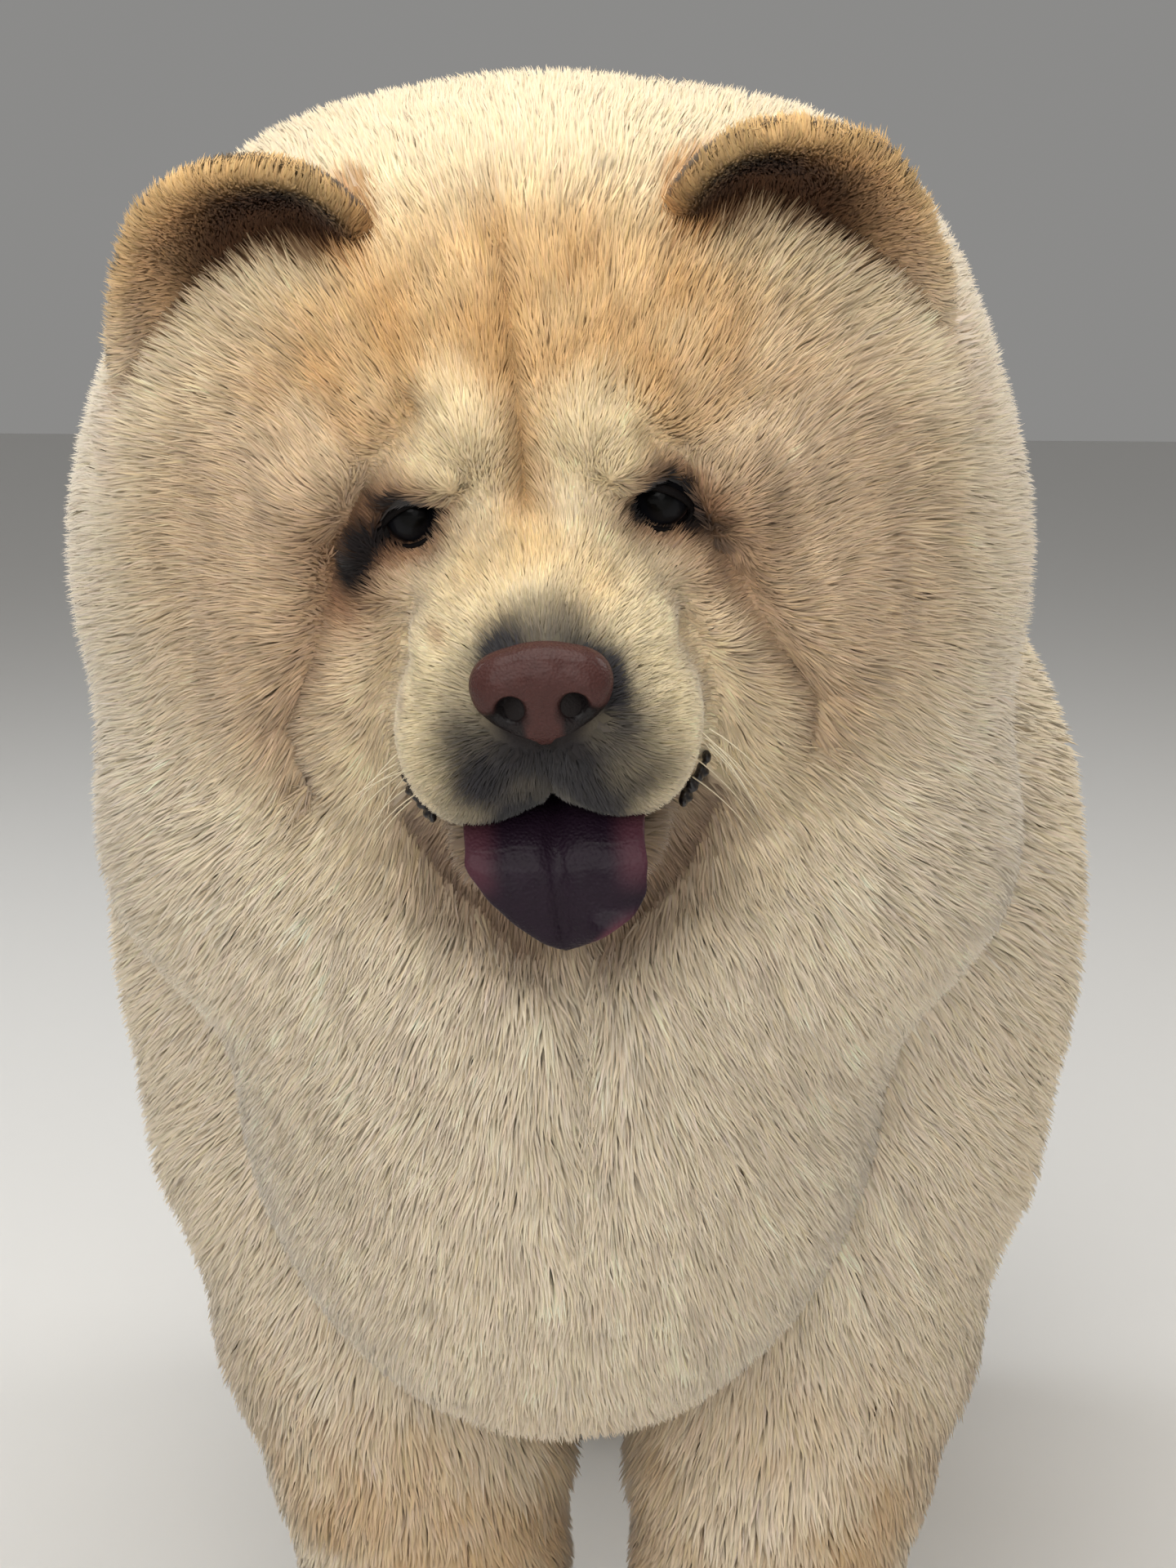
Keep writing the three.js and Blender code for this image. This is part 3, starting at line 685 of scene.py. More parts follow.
def mixed(tree, kind, factor, a, b):
    """A colour mix; each input is a socket or a value."""
    return node(tree, "Mix", {0: factor, 6: a, 7: b}, data_type="RGBA", blend_type=kind).outputs[2]


def mottled(tree, first, second, scale, detail=3.0, stretch=None):
    """Two colours mixed by noise."""
    return mixed(tree, "MIX", noise(tree, scale, detail, stretch), (*first, 1), (*second, 1))


def ranged(tree, value, low, high):
    """A value from 0..1 turned to low..high."""
    return node(tree, "MapRange", {"Value": value, "To Min": low, "To Max": high}).outputs["Result"]


def bumped(tree, bsdf, height, strength, distance):
    """A bump of the surface from a height, with its depth in metres."""
    bump = node(tree, "Bump", {"Height": height, "Strength": strength, "Distance": distance})
    tree.links.new(bump.outputs["Normal"], bsdf.inputs["Normal"])


def coat_material():
    """Marking colour, a little darker at the root of each tuft and paler at its tip: painted shade deep in
    the coat.
    """
    material, tree, bsdf = shader(
        "coat", Roughness=0.75, Specular_IOR_Level=0.2, Sheen_Weight=0.3, Sheen_Roughness=0.45
    )
    shade = ranged(tree, attribute(tree, "along"), 0.98, 1.02)
    grey = node(tree, "CombineColor", {"Red": shade, "Green": shade, "Blue": shade}).outputs["Color"]
    paint(tree, bsdf, mixed(tree, "MULTIPLY", 1.0, attribute(tree, "marking", "Color"), grey))
    return material


def skin_material():
    """The same markings, deeper, with the pores and lie of short hair as bump."""
    material, tree, bsdf = shader("skin", Roughness=0.7, Specular_IOR_Level=0.25)
    grain = noise(tree, 900.0, 4.0)
    tone = node(tree, "ValToRGB", {"Fac": grain})
    tone.color_ramp.elements[0].color = (0.84, 0.82, 0.8, 1)
    tone.color_ramp.elements[1].color = (1.0, 0.99, 0.98, 1)
    marking = attribute(tree, "marking", "Color")
    paint(tree, bsdf, mixed(tree, "MULTIPLY", 1.0, marking, tone.outputs["Color"]))
    bumped(tree, bsdf, grain, 0.5, 0.0006)
    return material


COAT = coat_material()
SKIN = skin_material()

skin = add_mesh("skin", skin_points, skin_quads, SKIN)
add_colour(skin, "marking", markings(skin_points.astype(np.float32)))
FLESH = [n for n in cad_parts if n.split("_")[0] not in ("eye", "nose", "tongue")]
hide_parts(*FLESH)


# The coat. A tuft: the shares of its length below and above its bend, the share of its lift that is left
# above the bend, how far its root is under the skin, and the side of its patch of the bake's map
BELOW, ABOVE = 0.42, 0.58
DROOP = 0.62
ROOT_UNDER = 0.6
BAKE_PATCH = 0.003
# The spacing that leaves a place bare
NO_TUFTS = 60


def coat_places():
    """Roots over the skin, 1 / spacing^2 to the square millimetre: they lie evenly along the running total
    of that over the faces, at a random place in each face."""
    tri = np.vstack([skin_quads[:, [0, 1, 2]], skin_quads[:, [0, 2, 3]]])
    order = np.argsort(np.tile(np.arange(len(skin_quads)), 2), kind="stable")
    tri = tri[order]
    a, b, c = (skin_points[:, tri[:, k]] for k in range(3))
    area = length(np.cross(b - a, c - a, axis=0)) / 2
    middle = ((a + b + c) / 3).astype(np.float32)
    want = area / spacing_at(middle) ** 2
    total = np.cumsum(want)
    count = int(total[-1])
    at = (np.arange(count) + rng.random(count)) * total[-1] / count
    pick = np.minimum(np.searchsorted(total, at), len(tri) - 1)
    s, t = rng.random(count), rng.random(count)
    over = s + t > 1
    s[over], t[over] = 1 - s[over], 1 - t[over]
    tri = tri[pick]
    share = (1 - s - t, s, t)
    place = sum(share[k] * skin_points[:, tri[:, k]] for k in range(3))
    normal = unit(sum(share[k] * skin_normals[:, tri[:, k]] for k in range(3)))
    return place, normal


def normals_of(points, quads):
    """Vertex normals: the sum of the crossed diagonals of the faces round each vertex, made unit."""
    one, two = (points[:, quads[:, k + 2]] - points[:, quads[:, k]] for k in (0, 1))
    cross = np.cross(one, two, axis=0)
    out = [np.bincount(quads.ravel(), np.repeat(row, 4), points.shape[1]) for row in cross]
    return unit(np.stack(out))


def spacing_at(p):
    """How far apart tufts stand, in millimetres: closest on the muzzle and face, none in eye or mouth."""
    h = to_head(p)
    face = 0.8 + 0.6 * smoothstep(50, 150, face_ring(h, 25))
    mane = 1.75 + 0.75 * smoothstep(FORE_Y - 60, FORE_Y + 60, p[1]) + 0.45 * smoothstep(0, 200, p[1])
    gap = mane + (np.minimum(face, mane) - mane) * smoothstep(110, 30, h[1])
    legs = 2.05 + 0.7 * smoothstep(FORE_Y, 100, p[1])
    gap = gap + (legs - gap) * smoothstep(230, 130, p[2])
    gap = gap + (1.6 - gap) * smoothstep(70, 30, p[2])
    gap = np.where(tail_form(p) < outline(p) + 4, np.minimum(gap, 2.3), gap)
    for s in SIDES:
        gap = gap + (0.95 - gap) * near_ear(h, s)
        gap = np.where((eye_round(h, s, *EYE_OPEN) < 1.06) & (h[1] < 14), NO_TUFTS, gap)
    bare = (ellipsoid(h, *MOUTH) < 2.5) | (ellipsoid(h, *NOSE_ROOM) < 0) | (p[2] < 1.5)
    return np.where(bare, NO_TUFTS, gap)


def near_ear(h, s):
    """1 on an ear's skin and 0 away from it."""
    return 1 - smoothstep(1, 9, ear_form(h, s) + EAR_DEPTH)


def lie_of(p, h, normal, zone):
    """Which way the coat lies: away from the nose on the face, out from the face in the mane, back and down
    on the trunk, down the legs, to the rim of the ears and along the tail; laid flat on the skin."""
    flow = np.stack([p[0] * 0.0015, np.full_like(p[0], 0.85), np.full_like(p[0], -0.42)])
    out = p - column(EYE_MID + (0, 0, -20))
    out[1] = out[1] * 0.3 + 60
    out[2] = out[2] - 25
    flow = flow + (unit(out) - flow) * zone["mane"]
    flow = flow + (column((0, 0.12, -1)) - flow) * zone["leg"]
    away = HEAD_TURN @ (h - column((0, -78, -38)))
    flow = flow + (unit(away) - flow) * zone["face"]
    back = np.stack([p[0] * 0.004, np.full_like(p[0], -0.75), np.full_like(p[0], 0.25)])
    flow = flow + (back - flow) * zone["tail"]
    for s, word in HANDS:
        rim = HEAD_TURN @ unit(h - column((s * 92, 64, 44)))
        flow = flow + (rim - flow) * zone[f"ear_{word}"]
    flow = flow + 0.16 * np.stack([ripple(p, 34, 21 + k) for k in range(3)])
    flow = flow + 0.07 * np.stack([ripple(p, 11, 31 + k) for k in range(3)])
    flow = flow - normal * (flow * normal).sum(0)
    return unit(flow)


def zones_of(p, h):
    """Weights 0..1 of the parts of the body at each point."""
    tail = 1 - smoothstep(-14, 4, tail_form(p) - outline(p) - 6)
    chest = p[1] < FORE_Y - 55
    return {
        "mane": smoothstep(FORE_Y + 30, FORE_Y - 40, p[1]) * smoothstep(140, 190, p[2]),
        "leg": smoothstep(250, 170, p[2]) * np.where(chest, smoothstep(190, 130, p[2]), 1),
        "face": smoothstep(75, 15, h[1]) * smoothstep(135, 85, face_ring(h, 15)),
        "tail": np.where(p[2] > 500, tail, 0),
        **{f"ear_{word}": near_ear(h, s) for s, word in HANDS},
    }


def unwrap(p, centre, axis):
    """Azimuthal unwrap: the angle from the axis as the distance from the middle of the map."""
    axis = np.array(axis, float) / np.linalg.norm(axis)
    side = np.cross(axis, (0.31, 0.17, 0.93))
    side /= np.linalg.norm(side)
    up = np.cross(side, axis)
    d = unit(p - column(centre))
    angle = np.arccos(np.clip(axis @ d, -1, 1)) / math.pi
    x, y = side @ d, up @ d
    flat = np.maximum(np.hypot(x, y), 1e-9)
    return np.stack([0.5 + 0.49 * angle * x / flat, 0.5 + 0.49 * angle * y / flat])


# Each coat piece: the middle and axis of its unwrap
REGIONS = {
    "coat_muzzle": ((-5, -345, 480), (0, -1, 0)),
    "coat_brow": ((-5, -290, 540), (0, -1, 0.3)),
    "coat_cheek_left": ((20, -280, 500), (0.6, -1, 0)),
    "coat_cheek_right": ((-30, -280, 500), (-0.6, -1, 0)),
    "coat_mane_left": ((40, -200, 480), (1, -0.2, 0.2)),
    "coat_mane_right": ((-60, -200, 480), (-1, -0.2, 0.2)),
    "coat_bib": ((0, -200, 330), (0, -1, -0.3)),
    "coat_crown": ((0, -190, 520), (0, 0.2, 1)),
    "coat_back_left": ((20, 60, 390), (1, 0, 0.2)),
    "coat_back_right": ((-20, 60, 390), (-1, 0, 0.2)),
    "coat_rump": ((0, 230, 380), (0, 1, 0)),
    "coat_foreleg_left": ((72, -127, 110), (0, 0, 1)),
    "coat_foreleg_right": ((-72, -127, 110), (0, 0, 1)),
    "coat_hindleg_left": ((86, 280, 110), (0, 0, 1)),
    "coat_hindleg_right": ((-86, 280, 110), (0, 0, 1)),
    "coat_tail": ((10, 240, 590), (0, 0, 1)),
    "coat_ear_left": (tuple(from_head((112, 64, 52)).ravel()), (0.3, -1, 0)),
    "coat_ear_right": (tuple(from_head((-112, 64, 52)).ravel()), (-0.3, -1, 0)),
}
REGION_NAMES = list(REGIONS)


def region_of(p, h, zone):
    """The number of the coat piece that each root belongs to: the last of the rules that holds there. The
    third value of a rule is true where the left piece, one before the right one, is meant."""
    left = p[0] > -4
    leg = zone["leg"] > 0.5
    face = (h[1] < 75) & (face_ring(h, 15) < 118) & (h[2] > -130)
    rules = (
        ("coat_back_right", True, left),
        ("coat_mane_right", p[1] < FORE_Y + 5, left),
        ("coat_rump", p[1] > 190, 0),
        ("coat_crown", (p[1] < FORE_Y - 20) & (p[2] > 600), 0),
        ("coat_bib", (p[1] < FORE_Y - 40) & (p[2] < 405), 0),
        ("coat_foreleg_right", leg & (p[1] < 60), p[0] > 0),
        ("coat_hindleg_right", leg & (p[1] >= 60), p[0] > 0),
        ("coat_cheek_right", face, h[0] > 0),
        ("coat_brow", face & (h[2] > 8 - 0.15 * np.abs(h[0])), 0),
        ("coat_muzzle", face & (np.abs(h[0]) < 52) & (h[2] < -8) & (h[1] < 10), 0),
        ("coat_tail", zone["tail"] > 0.5, 0),
        ("coat_ear_left", zone["ear_left"] > 0.3, 0),
        ("coat_ear_right", zone["ear_right"] > 0.3, 0),
    )
    pick = np.zeros(p.shape[1], int)
    for name, where, one_before in rules:
        pick = np.where(where, REGION_NAMES.index(name) - one_before, pick)
    return pick


def tufts(name, centre, axis, p, normal, flow, colour, depth, gap, lift):
    """One joined mesh of tufts, each a slim closed leaf of four faces, folded across its middle: a root
    just under the skin, two points either side of its middle, and a tip. Root -> middle rises at the first
    lift and middle -> tip at the second, lower one. Its length is the coat's depth over BELOW sin(lift) +
    ABOVE sin(DROOP lift), so the tips end at the outline."""
    count = p.shape[1]
    first = lift * rng.normal(1, 0.08, count)
    second = DROOP * lift * rng.normal(1, 0.14, count)
    rise = BELOW * np.sin(first) + ABOVE * np.sin(second)
    long = depth / np.maximum(rise, 0.12) * rng.uniform(0.88, 1.03, count)
    side = np.cross(normal, flow, axis=0)
    flow = unit(flow + side * rng.normal(0, 0.14, count))
    one = normal * np.sin(first) + flow * np.cos(first)
    two = normal * np.sin(second) + flow * np.cos(second)
    root = p - normal * ROOT_UNDER
    middle = root + one * long * BELOW
    tip = middle + two * long * ABOVE
    wide = gap * rng.uniform(0.42, 0.6, count)
    roll = rng.normal(0, 0.5, count)
    across = unit(np.cross(two, normal, axis=0))
    above = np.cross(across, two, axis=0)
    way = across * np.cos(roll) + above * np.sin(roll)
    verts = np.stack([root, middle - way * wide, middle + way * wide, tip], axis=2).reshape(3, -1)
    verts[2] = np.maximum(verts[2], 0.3)
    shape = np.array([(0, 2, 1), (1, 2, 3), (0, 1, 3), (0, 3, 2)])
    faces = (shape[None] + 4 * np.arange(count)[:, None, None]).reshape(-1, 3)
    piece = add_mesh(name, verts, faces, COAT)
    colour = colour * (1 + (0.02 + 0.07 * (gap < 1.5)) * (ripple(p, 6, 61) + ripple(p, 15, 62)))
    warm = np.stack([0.02 * rng.normal(size=count), np.zeros(count), -0.04 * rng.normal(size=count)])
    tint = colour * (rng.normal(1, 0.04 + 0.05 * (gap < 1.3), count) + warm)
    add_colour(piece, "marking", np.repeat(np.clip(tint, 0, 1), 4, 1))
    add_value(piece, "along", np.tile([0.0, BELOW, BELOW, 1.0], count))
    patch = np.array([(0.5, 0), (0, 0.45), (1, 0.45), (0.5, 1)]) * BAKE_PATCH
    uv = unwrap(p, centre, axis).T[:, None, :] + patch[None, :, :] - BAKE_PATCH / 2
    uv = uv.reshape(-1, 2)[faces.ravel()]
    piece.data.uv_layers.new(name="OFBake").data.foreach_set("uv", uv.astype(np.float32).ravel())
    bend = unit(normal + flow * 0.1)
    normals = [bend, unit(normal - way * 0.12), unit(normal + way * 0.12), bend]
    normals = np.stack(normals, axis=2).reshape(3, -1)
    piece.data.normals_split_custom_set_from_vertices(normals.T.tolist())


def make_coat():
    """All the coat's pieces."""
    place, normal = coat_places()
    p = place.astype(np.float32)
    h = to_head(p)
    zone = zones_of(p, h)
    on_ear = np.maximum(zone["ear_left"], zone["ear_right"])
    depth = skin_depth(p, h)
    lift = 38 + 16 * zone["mane"] - 2 * zone["tail"]
    lift = lift + (34 + 16 * smoothstep(45, 110, face_ring(h, 25)) - lift) * zone["face"]
    lift = lift + (34 - lift) * on_ear
    roots = {
        "p": place,
        "normal": normal,
        "flow": lie_of(p, h, normal, zone),
        "colour": markings(p),
        "depth": depth + (EAR_DEPTH - depth) * on_ear,
        "gap": np.minimum(spacing_at(p), 4.0),
        "lift": np.radians(lift + 5 * ripple(p, 30, 41)),
    }
    pick = region_of(p, h, zone)
    for index, (name, (centre, axis)) in enumerate(REGIONS.items()):
        tufts(name, centre, axis, **{key: values[..., pick == index] for key, values in roots.items()})


skin_normals = normals_of(skin_points, skin_quads)
make_coat()


# Nose, tongue, eyes, lids, lips, whiskers and claws
def wet_material(name, colour, roughness, gloss, scale, strength, shine, deeper=None):
    """Bare wet leather: mottled colour, a second one where the piece's own mask says so (painted shade on
    the nose, pink with a painted highlight on the tongue), cobbled bump and a clear film."""
    material, tree, bsdf = shader(
        name, Roughness=roughness, Coat_Roughness=0.12, Coat_Weight=gloss, Specular_IOR_Level=shine
    )
    tone = mottled(tree, colour * 0.6, colour, scale * 0.25, 4.0)
    if deeper is not None:
        tone = mixed(tree, "MIX", attribute(tree, "along"), tone, (*deeper, 1))
    paint(tree, bsdf, tone)
    place = node(tree, "TexCoord").outputs["Object"]
    cells = node(tree, "TexVoronoi", {"Vector": place, "Scale": scale}, feature="SMOOTH_F1")
    bumped(tree, bsdf, cells.outputs["Distance"], strength, 0.0006)
    return material


def nose_form(h):
    """The nose leather: a broad pad, its lower shield and two wings, less comma nostrils and the cleft."""
    parts = [ellipsoid(h, (0, -64, -30), (21.5, 11, 12)), ellipsoid(h, (0, -63.5, -41), (17, 9.5, 12.5))]
    for s in SIDES:
        parts.append(ellipsoid(h, (s * 14.2, -65.5, -32.5), (8.6, 9.2, 10.2)))
    pad = blend(parts, 5)
    for s in SIDES:
        hole = ellipsoid(h, (s * 10.4, -77, -37.5), (5.6, 10, 6.2))
        slit = limb(h, (s * 11.5, -76, -41), (s * 23, -69, -43), 3.6, 2.6)
        pad = carve(pad, soft(hole, slit, 3), 2.0)
    cleft = limb(h, (0, -77, -36), (0, -73, -56), 0.9, 1.8)
    return carve(pad, cleft, 1.4)


def grid_faces(rows, columns):
    """Quads of a grid of points, row after row, with each row closed to a ring."""
    i, j = np.meshgrid(np.arange(rows - 1), np.arange(columns), indexing="ij")
    k = (j + 1) % columns
    corners = [i * columns + j, i * columns + k, (i + 1) * columns + k, (i + 1) * columns + j]
    return np.stack(corners, -1).reshape(-1, 4)


def tube(path, radii, sides):
    """Points and triangles of a round tube along a path, closed at both ends: path + r (cos, sin)."""
    way = unit_rows(np.gradient(path, axis=0))
    side = unit_rows(np.cross(way, (0.13, 0.31, 0.94)))
    up = np.cross(side, way)
    angle = angles(sides)[None, :, None]
    ring = side[:, None] * np.cos(angle) + up[:, None] * np.sin(angle)
    points = path[:, None] + ring * radii[:, None, None]
    points = np.vstack([points.reshape(-1, 3), path[:1], path[-1:]])
    quads = grid_faces(len(path), sides)
    j = np.arange(sides)
    k = (j + 1) % sides
    end = (len(path) - 1) * sides
    top = np.full(sides, len(path) * sides)
    caps = [np.stack([k, j, top], -1), np.stack([end + j, end + k, top + 1], -1)]
    return points, np.vstack([quads[:, [0, 1, 2]], quads[:, [0, 2, 3]], *caps])


def add_tubes(name, tubes, material):
    """Several tubes joined as one mesh."""
    points, faces, start = [], [], 0
    for place, triangles in tubes:
        points.append(place)
        faces.append(triangles + start)
        start += len(place)
    return add_mesh(name, np.vstack(points).T, np.vstack(faces), material)


def make_nose():
    """The nose leather, with painted shade near black in the nostrils and on the lower part beside the
    cleft.
    """
    axes = (np.arange(-26, 26.1, 0.55), np.arange(-80, -48, 0.55), np.arange(-58, -14, 0.55))
    points, quads = mesh_of(nose_form, axes)
    leather = wet_material("nose_leather", srgb(80, 47, 43), 0.5, 0.12, 1100, 0.7, 0.2, srgb(18, 13, 14))
    nose = add_mesh("nose_pad", from_head(points), quads, leather)
    # Painted shade: the underside of the pad and the inside of the nostrils made near black.
    low = smoothstep(-36, -41, points[2]) * smoothstep(4.5, 7.5, np.abs(points[0])) * 0.95
    hole = np.minimum(*(ellipsoid(points, (s * 10.8, -72, -38.5), (7.2, 12, 7.4)) for s in SIDES))
    deep = smoothstep(1.2, -0.8, hole) * smoothstep(-75, -70, points[1])
    add_value(nose, "along", np.clip(np.maximum(low, deep), 0, 1))
    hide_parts("nose")


def make_tongue():
    """A flat loop swept along a path: x = w cos(a), front = t sin(a), w narrowing to the tip, with a groove
    down the middle, cupped edges and one edge curled up near the tip."""
    rows, around, wide = 64, 72, 30
    stations = [(0, -12, -89), (0, -34, -87), (0, -54, -88), (0, -67, -95), (0, -72, -108), (0, -72, -126)]
    path = spline(stations, rows)
    z = path[:, 2]
    fall = np.clip((-95 - z) / 31, 0, 1)
    half = wide * np.maximum(1 - fall**1.1, 0) ** 0.7
    half[-1] = 0.3
    fuller = wide * np.maximum(1 - fall**2.6, 0) ** 0.8 - half
    way = unit_rows(np.gradient(path, axis=0))
    front = np.stack([np.zeros(rows), way[:, 2], -way[:, 1]], 1)
    angle = angles(around)
    across = np.cos(angle)[None] * half[:, None] + np.maximum(np.cos(angle), 0)[None] * fuller[:, None]
    thick = 3.4 * np.minimum(1, half / 8)[:, None] * np.sign(np.sin(angle)) * np.abs(np.sin(angle)) ** 0.7
    share = across / wide
    on_top = smoothstep(-0.2, 0.5, np.sin(angle))[None]
    out = thick - 2.2 * np.exp(-((across / 2.4) ** 2)) * on_top * smoothstep(0, 12, half)[:, None]
    out = out + 2.4 * share**2 + 0.25 * np.sin(across * 0.32 + z[:, None] * 0.23)
    curl = smoothstep(-108, -121, z)[:, None] * smoothstep(0.05, 0.55, share)
    out = out + 6.0 * curl
    points = path[:, None] + front[:, None] * out[..., None]
    points[..., 0] += across * (1 + 0.008 * np.sin(z * 0.7))[:, None] + 1.5 * fall[:, None]
    points[..., 2] += 3.5 * curl
    flesh = wet_material("tongue_skin", srgb(36, 22, 36), 0.5, 0.08, 900, 0.7, 0.15, srgb(108, 62, 72))
    place = from_head(points.reshape(-1, 3).T)
    tongue = add_mesh("tongue_body", place, grid_faces(rows, around), flesh)
    pink = smoothstep(0.55, 0.85, np.abs(share)) * smoothstep(-108, -96, z)[:, None] * 0.55
    # Painted highlight: the curled edge near the tip made lighter pink.
    rim = curl * smoothstep(0.6, 1.0, np.abs(np.cos(angle)))[None] * 0.9
    add_value(tongue, "along", np.clip(pink * 0.8 + rim, 0, 1).ravel())
    close_ends(tongue, rows, around)
    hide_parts("tongue")


def close_ends(piece, rows=0, around=0):
    """Fills the first and last ring of a swept mesh with one face each, where it has such ends, and turns
    all its faces outwards."""
    work = bmesh.new()
    work.from_mesh(piece.data)
    work.verts.ensure_lookup_table()
    if rows:
        work.faces.new(work.verts[:around])
        work.faces.new(work.verts[(rows - 1) * around : rows * around])
    bmesh.ops.recalc_face_normals(work, faces=work.faces)
    for face in work.faces:
        face.smooth = True
    work.to_mesh(piece.data)
    work.free()


def eye_material():
    """Pupil, dark iris with rays, dark rim and brown white, by the angle from the gaze, under a clear
    film."""
    material, tree, bsdf = shader(
        "eye", Roughness=0.4, Coat_Weight=0.13, Coat_Roughness=0.02, Specular_IOR_Level=0.05
    )
    bands = (
        (0.22, (0.001, 0.001, 0.001)),
        (0.27, (0.004, 0.004, 0.005)),
        (0.5, (0.006, 0.006, 0.008)),
        (0.58, (0.002, 0.002, 0.002)),
        (0.68, (0.03, 0.018, 0.016)),
    )
    rays = ranged(tree, noise(tree, 1400.0, 2.0), -0.03, 0.03)
    angle = node(tree, "Math", {0: attribute(tree, "from_gaze"), 1: rays}, operation="ADD")
    ramp = node(tree, "ValToRGB", {"Fac": angle.outputs["Value"]})
    stops = ramp.color_ramp.elements
    stops[0].color = (0.001, 0.001, 0.001, 1)
    stops[1].color = (0.12, 0.07, 0.06, 1)
    for place, colour in bands:
        stops.new(place).color = (*colour, 1)
    paint(tree, bsdf, ramp.outputs["Color"])
    return material


def make_eyeball(word, centre, clear):
    """A grid about the gaze, with radius r + 0.9 exp(-(a / 0.45)^2) at the angle a from it."""
    rings, around = 48, 64
    gaze = unit_rows(HEAD_TURN.T @ (CAMERA_AT - EYE_MID) - centre)
    side = unit_rows(np.cross(gaze, (0, 0, 1.0)))
    up = np.cross(side, gaze)
    polar = np.linspace(0.02, math.pi - 0.02, rings)[:, None, None]
    turned = angles(around)[None, :, None]
    radius = EYE_RADIUS + 0.9 * np.exp(-((polar / 0.45) ** 2))
    ray = np.cos(polar) * gaze + np.sin(polar) * (np.cos(turned) * side + np.sin(turned) * up)
    points = (centre + ray * radius).reshape(-1, 3)
    eye = add_mesh(f"eyeball_{word}", from_head(points.T), grid_faces(rings, around), clear)
    add_value(eye, "from_gaze", np.repeat(polar.ravel() / math.pi * 2, around) * 0.78)
    close_ends(eye, rings, around)
    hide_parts(f"eye_{word}")


def make_lids(word, s, centre, leather):
    """A rounded rim 0.9 by 1.4 along the opening of the lids, on a ball of radius 12 about the eye."""
    steps, sides = 96, 12
    a, b = 10.9 * np.cos(angles(steps)), 7.3 * np.sin(angles(steps))
    x = a * math.cos(SLANT) + b * math.sin(SLANT) + OPEN_SHIFT[0]
    z = -a * math.sin(SLANT) + b * math.cos(SLANT) + OPEN_SHIFT[1]
    y = -np.sqrt(np.maximum(12.0**2 - x * x - z * z, 9))
    ring = np.stack([x, y, z], 1)
    outward = unit_rows(ring)
    way = unit_rows(np.roll(ring, -1, 0) - np.roll(ring, 1, 0))
    across = np.cross(way, outward)
    angle = angles(sides)[None, :, None]
    lid = ring[:, None] + across[:, None] * np.cos(angle) * 1.4 + outward[:, None] * np.sin(angle) * 0.9
    points = (lid * (s, 1, 1) + centre).reshape(-1, 3)
    faces = grid_faces(steps + 1, sides) % len(points)
    rim = add_mesh(f"eyelids_{word}", from_head(points.T), faces, leather)
    close_ends(rim)


def make_eyes():
    """Both eyeballs and the rims of their lids."""
    clear = eye_material()
    leather = wet_material("lid_leather", srgb(14, 10, 10), 0.75, 0.02, 1200, 0.3, 0.1)
    for s, word in HANDS:
        centre = np.array([s * EYE_AT[0], EYE_AT[1], EYE_AT[2]])
        make_eyeball(word, centre, clear)
        make_lids(word, s, centre, leather)


def lip_form(h):
    """Beads along the lip's edge at each corner of the mouth, each a little off the line, run together."""
    beads = []
    for s in SIDES:
        for i in range(10):
            t, out, down = i / 9, i % 2, i % 3
            bead = (s * (43 + 9 * t), -22 + 12 * t + 1.5 * out, -98 + 8 * t + 1.6 * out - 0.9 * down)
            beads.append(ellipsoid(h, bead, (1.6, 2.9, 2.1 - 0.45 * down)))
    return blend(beads, 1.3)


def make_lips():
    """The crumpled black edge of the lip at each corner of the mouth."""
    leather = wet_material("lip_leather", srgb(26, 20, 22), 0.4, 0.4, 800, 0.5, 0.4)
    xs = np.arange(30, 60, 0.6)
    for s, word in HANDS:
        axes = (xs if s > 0 else -xs[::-1], np.arange(-34, 0, 0.6), np.arange(-110, -82, 0.6))
        points, quads = mesh_of(lip_form, axes)
        add_mesh(f"lip_{word}", from_head(points), quads, leather)


def make_whiskers():
    """Thin tapering tubes that leave the muzzle sideways and droop: root + d t L + g t^2 L."""
    pick = np.random.default_rng(5)
    t = np.linspace(0, 1, 9)[:, None]
    tubes = []
    for s in SIDES:
        for _ in range(9):
            root = np.array([s * pick.uniform(44, 54), pick.uniform(-42, -18), pick.uniform(-92, -58)])
            way = np.array([s * pick.uniform(0.6, 1.0), pick.uniform(-0.5, 0.1), pick.uniform(-0.9, -0.1)])
            long = pick.uniform(20, 40)
            path = root + unit_rows(way) * t * long + np.array([-s * 0.1, 0.15, -0.35]) * t**2 * long
            points, faces = tube(path, 0.28 * (1 - 0.85 * t.ravel()), 5)
            tubes.append((from_head(points.T).T, faces))
    hair, tree, bsdf = shader("whisker", Roughness=0.4)
    paint(tree, bsdf, mottled(tree, srgb(214, 196, 160), srgb(240, 230, 205), 500.0))
    add_tubes("whiskers", tubes, hair)


def make_claws():
    """A curved horn at the front of each toe: a line bending down, r narrowing as 1 - t^1.5."""
    horn, tree, bsdf = shader("claw_horn", Roughness=0.35)
    paint(tree, bsdf, mottled(tree, srgb(40, 34, 32), srgb(96, 82, 72), 260.0, 4.0, (1, 0.15, 1)))
    t = np.linspace(0, 1, 9)
    tubes = []
    for s in SIDES:
        for x, front in (FORE_PAW, HIND_PAW):
            for across, back in TOES:
                y = front + back - 15 - 13 * t
                path = np.stack([np.full(len(t), s * x + across), y, 14 - t - 9.5 * t**2], 1)
                tubes.append(tube(path, 3.1 * (1 - 0.88 * t**1.5), 8))
    add_tubes("claws", tubes, horn)


make_nose()
make_tongue()
make_eyes()
make_lips()
make_whiskers()
make_claws()


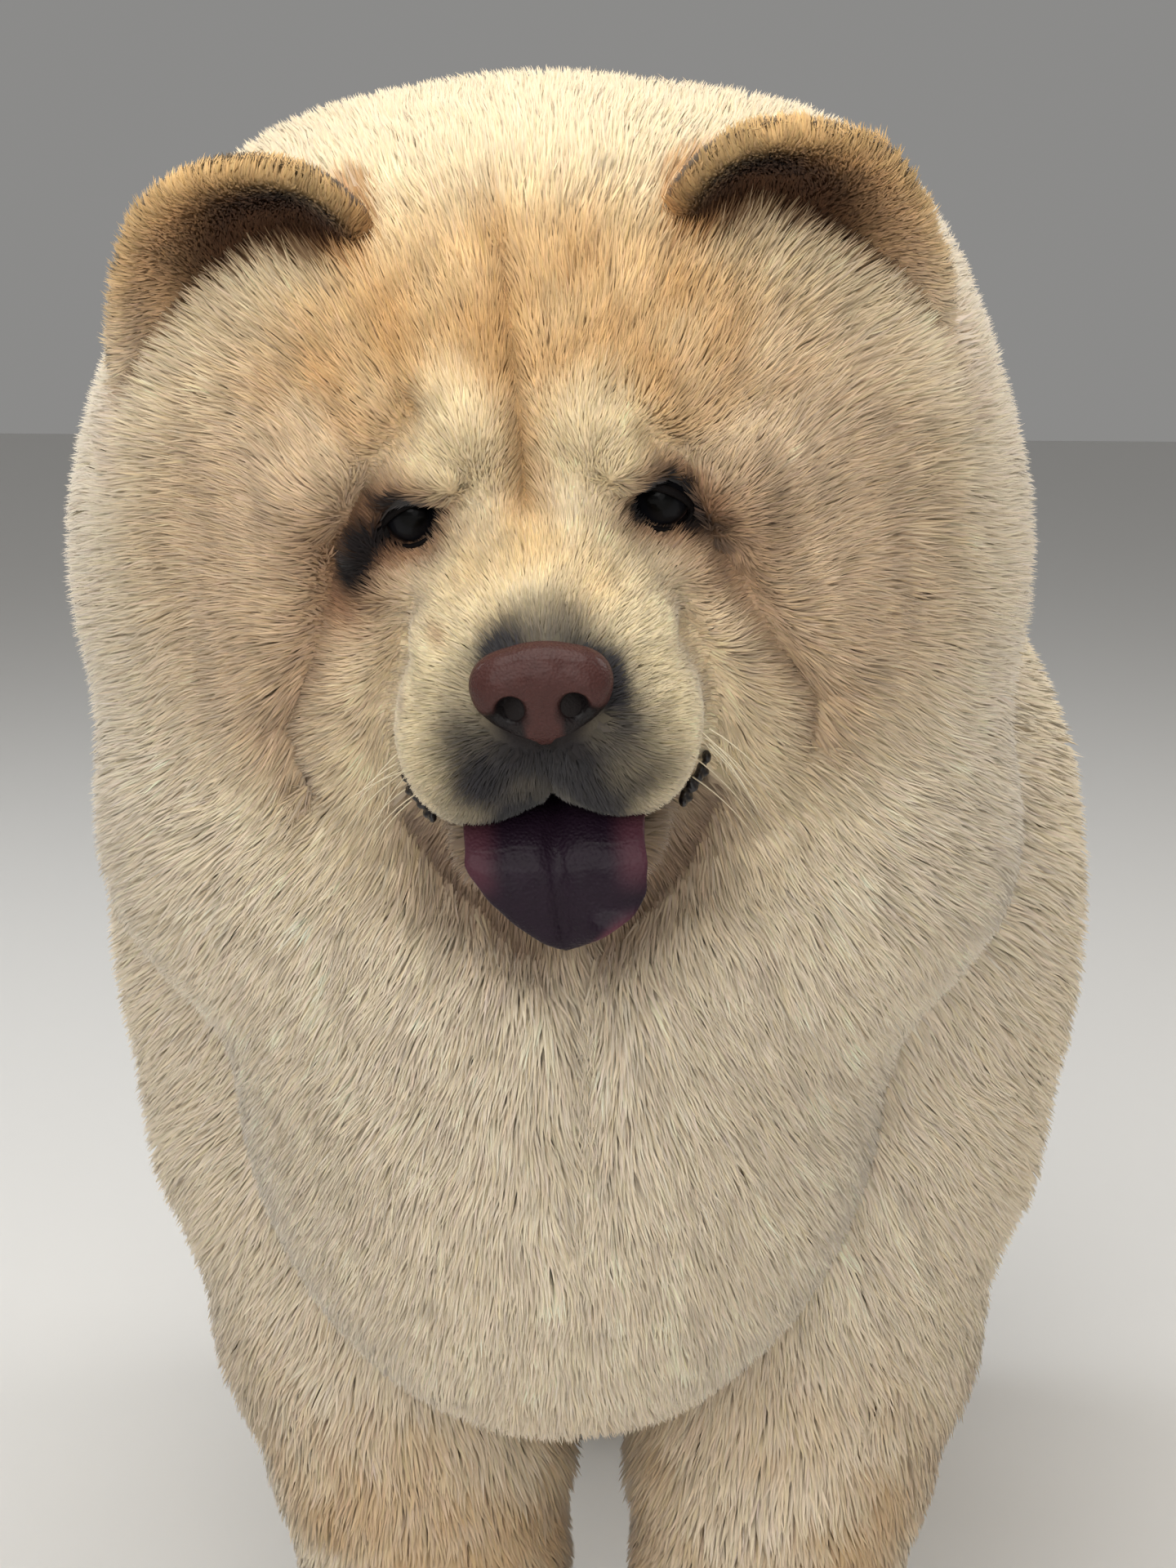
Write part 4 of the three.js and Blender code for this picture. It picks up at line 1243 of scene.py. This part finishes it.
def add_floor(scene, half=6.0):
    """A pale painted floor, which isn't part of the animal."""
    material, tree, bsdf = shader("floor_paint", Roughness=0.6, Base_Color=(0.72, 0.71, 0.69, 1))
    bumped(tree, bsdf, noise(tree, 30.0), 0.1, 0.0005)
    mesh = bpy.data.meshes.new("floor")
    corners = [(-half, -half, 0), (half, -half, 0), (half, half, 0), (-half, half, 0)]
    mesh.from_pydata(corners, [], [(0, 1, 2, 3)])
    mesh.materials.append(material)
    floor = bpy.data.objects.new("floor", mesh)
    scene.collection.objects.link(floor)


def add_lamp(scene, name, place, aim, size, power, tint):
    """A round soft lamp at its place, turned to its aim."""
    data = bpy.data.lights.new(name, "AREA")
    data.shape = "DISK"
    data.size = size
    data.energy = power
    data.color = tint
    lamp = bpy.data.objects.new(name, data)
    x, y, z = np.array(aim) - np.array(place)
    lamp.location = place
    lamp.rotation_euler = (math.atan2(math.hypot(x, y), -z), 0, math.atan2(-x, y))
    scene.collection.objects.link(lamp)


def add_camera(scene):
    """The camera at the photo's place and angle."""
    data = bpy.data.cameras.new("camera")
    data.sensor_fit = "VERTICAL"
    data.sensor_height = 36
    data.lens = 77
    data.clip_start = 0.05
    camera = bpy.data.objects.new("camera", data)
    camera.location = CAMERA_AT * MM
    camera.rotation_euler = (math.radians(79), 0, math.radians(4.5))
    scene.collection.objects.link(camera)
    scene.camera = camera


def rig(scene):
    """Floor, camera, soft studio light, and few bounces with a loose noise limit, for the coat's sake."""
    add_floor(scene)
    world = bpy.data.worlds.new("studio")
    world.use_nodes = True
    backdrop = world.node_tree.nodes["Background"]
    backdrop.inputs["Color"].default_value = (1.0, 0.99, 0.97, 1)
    backdrop.inputs["Strength"].default_value = 0.26
    scene.world = world
    lamps = (
        ("top_soft", (-0.1, -0.55, 2.4), (0, -0.25, 0.4), 1.8, 28, (1.0, 0.97, 0.92)),
        ("front_soft", (-0.6, -2.4, 1.8), (0, -0.25, 0.42), 2.2, 28, (1.0, 0.98, 0.95)),
        ("low_fill", (0.5, -2.3, 0.8), (0, -0.25, 0.42), 1.6, 7, (1.0, 0.98, 0.96)),
        ("rim_left", (-1.5, 1.0, 1.7), (0, 0, 0.45), 1.2, 16, (0.95, 0.98, 1.0)),
        ("rim_right", (1.6, 0.9, 1.7), (0, 0, 0.45), 1.2, 16, (1.0, 0.98, 0.95)),
    )
    for lamp in lamps:
        add_lamp(scene, *lamp)
    add_camera(scene)
    scene.view_settings.view_transform = "Standard"
    scene.cycles.diffuse_bounces = 3
    scene.cycles.glossy_bounces = 2
    scene.cycles.max_bounces = 4
    scene.cycles.adaptive_threshold = 0.2


rig(bpy.context.scene)
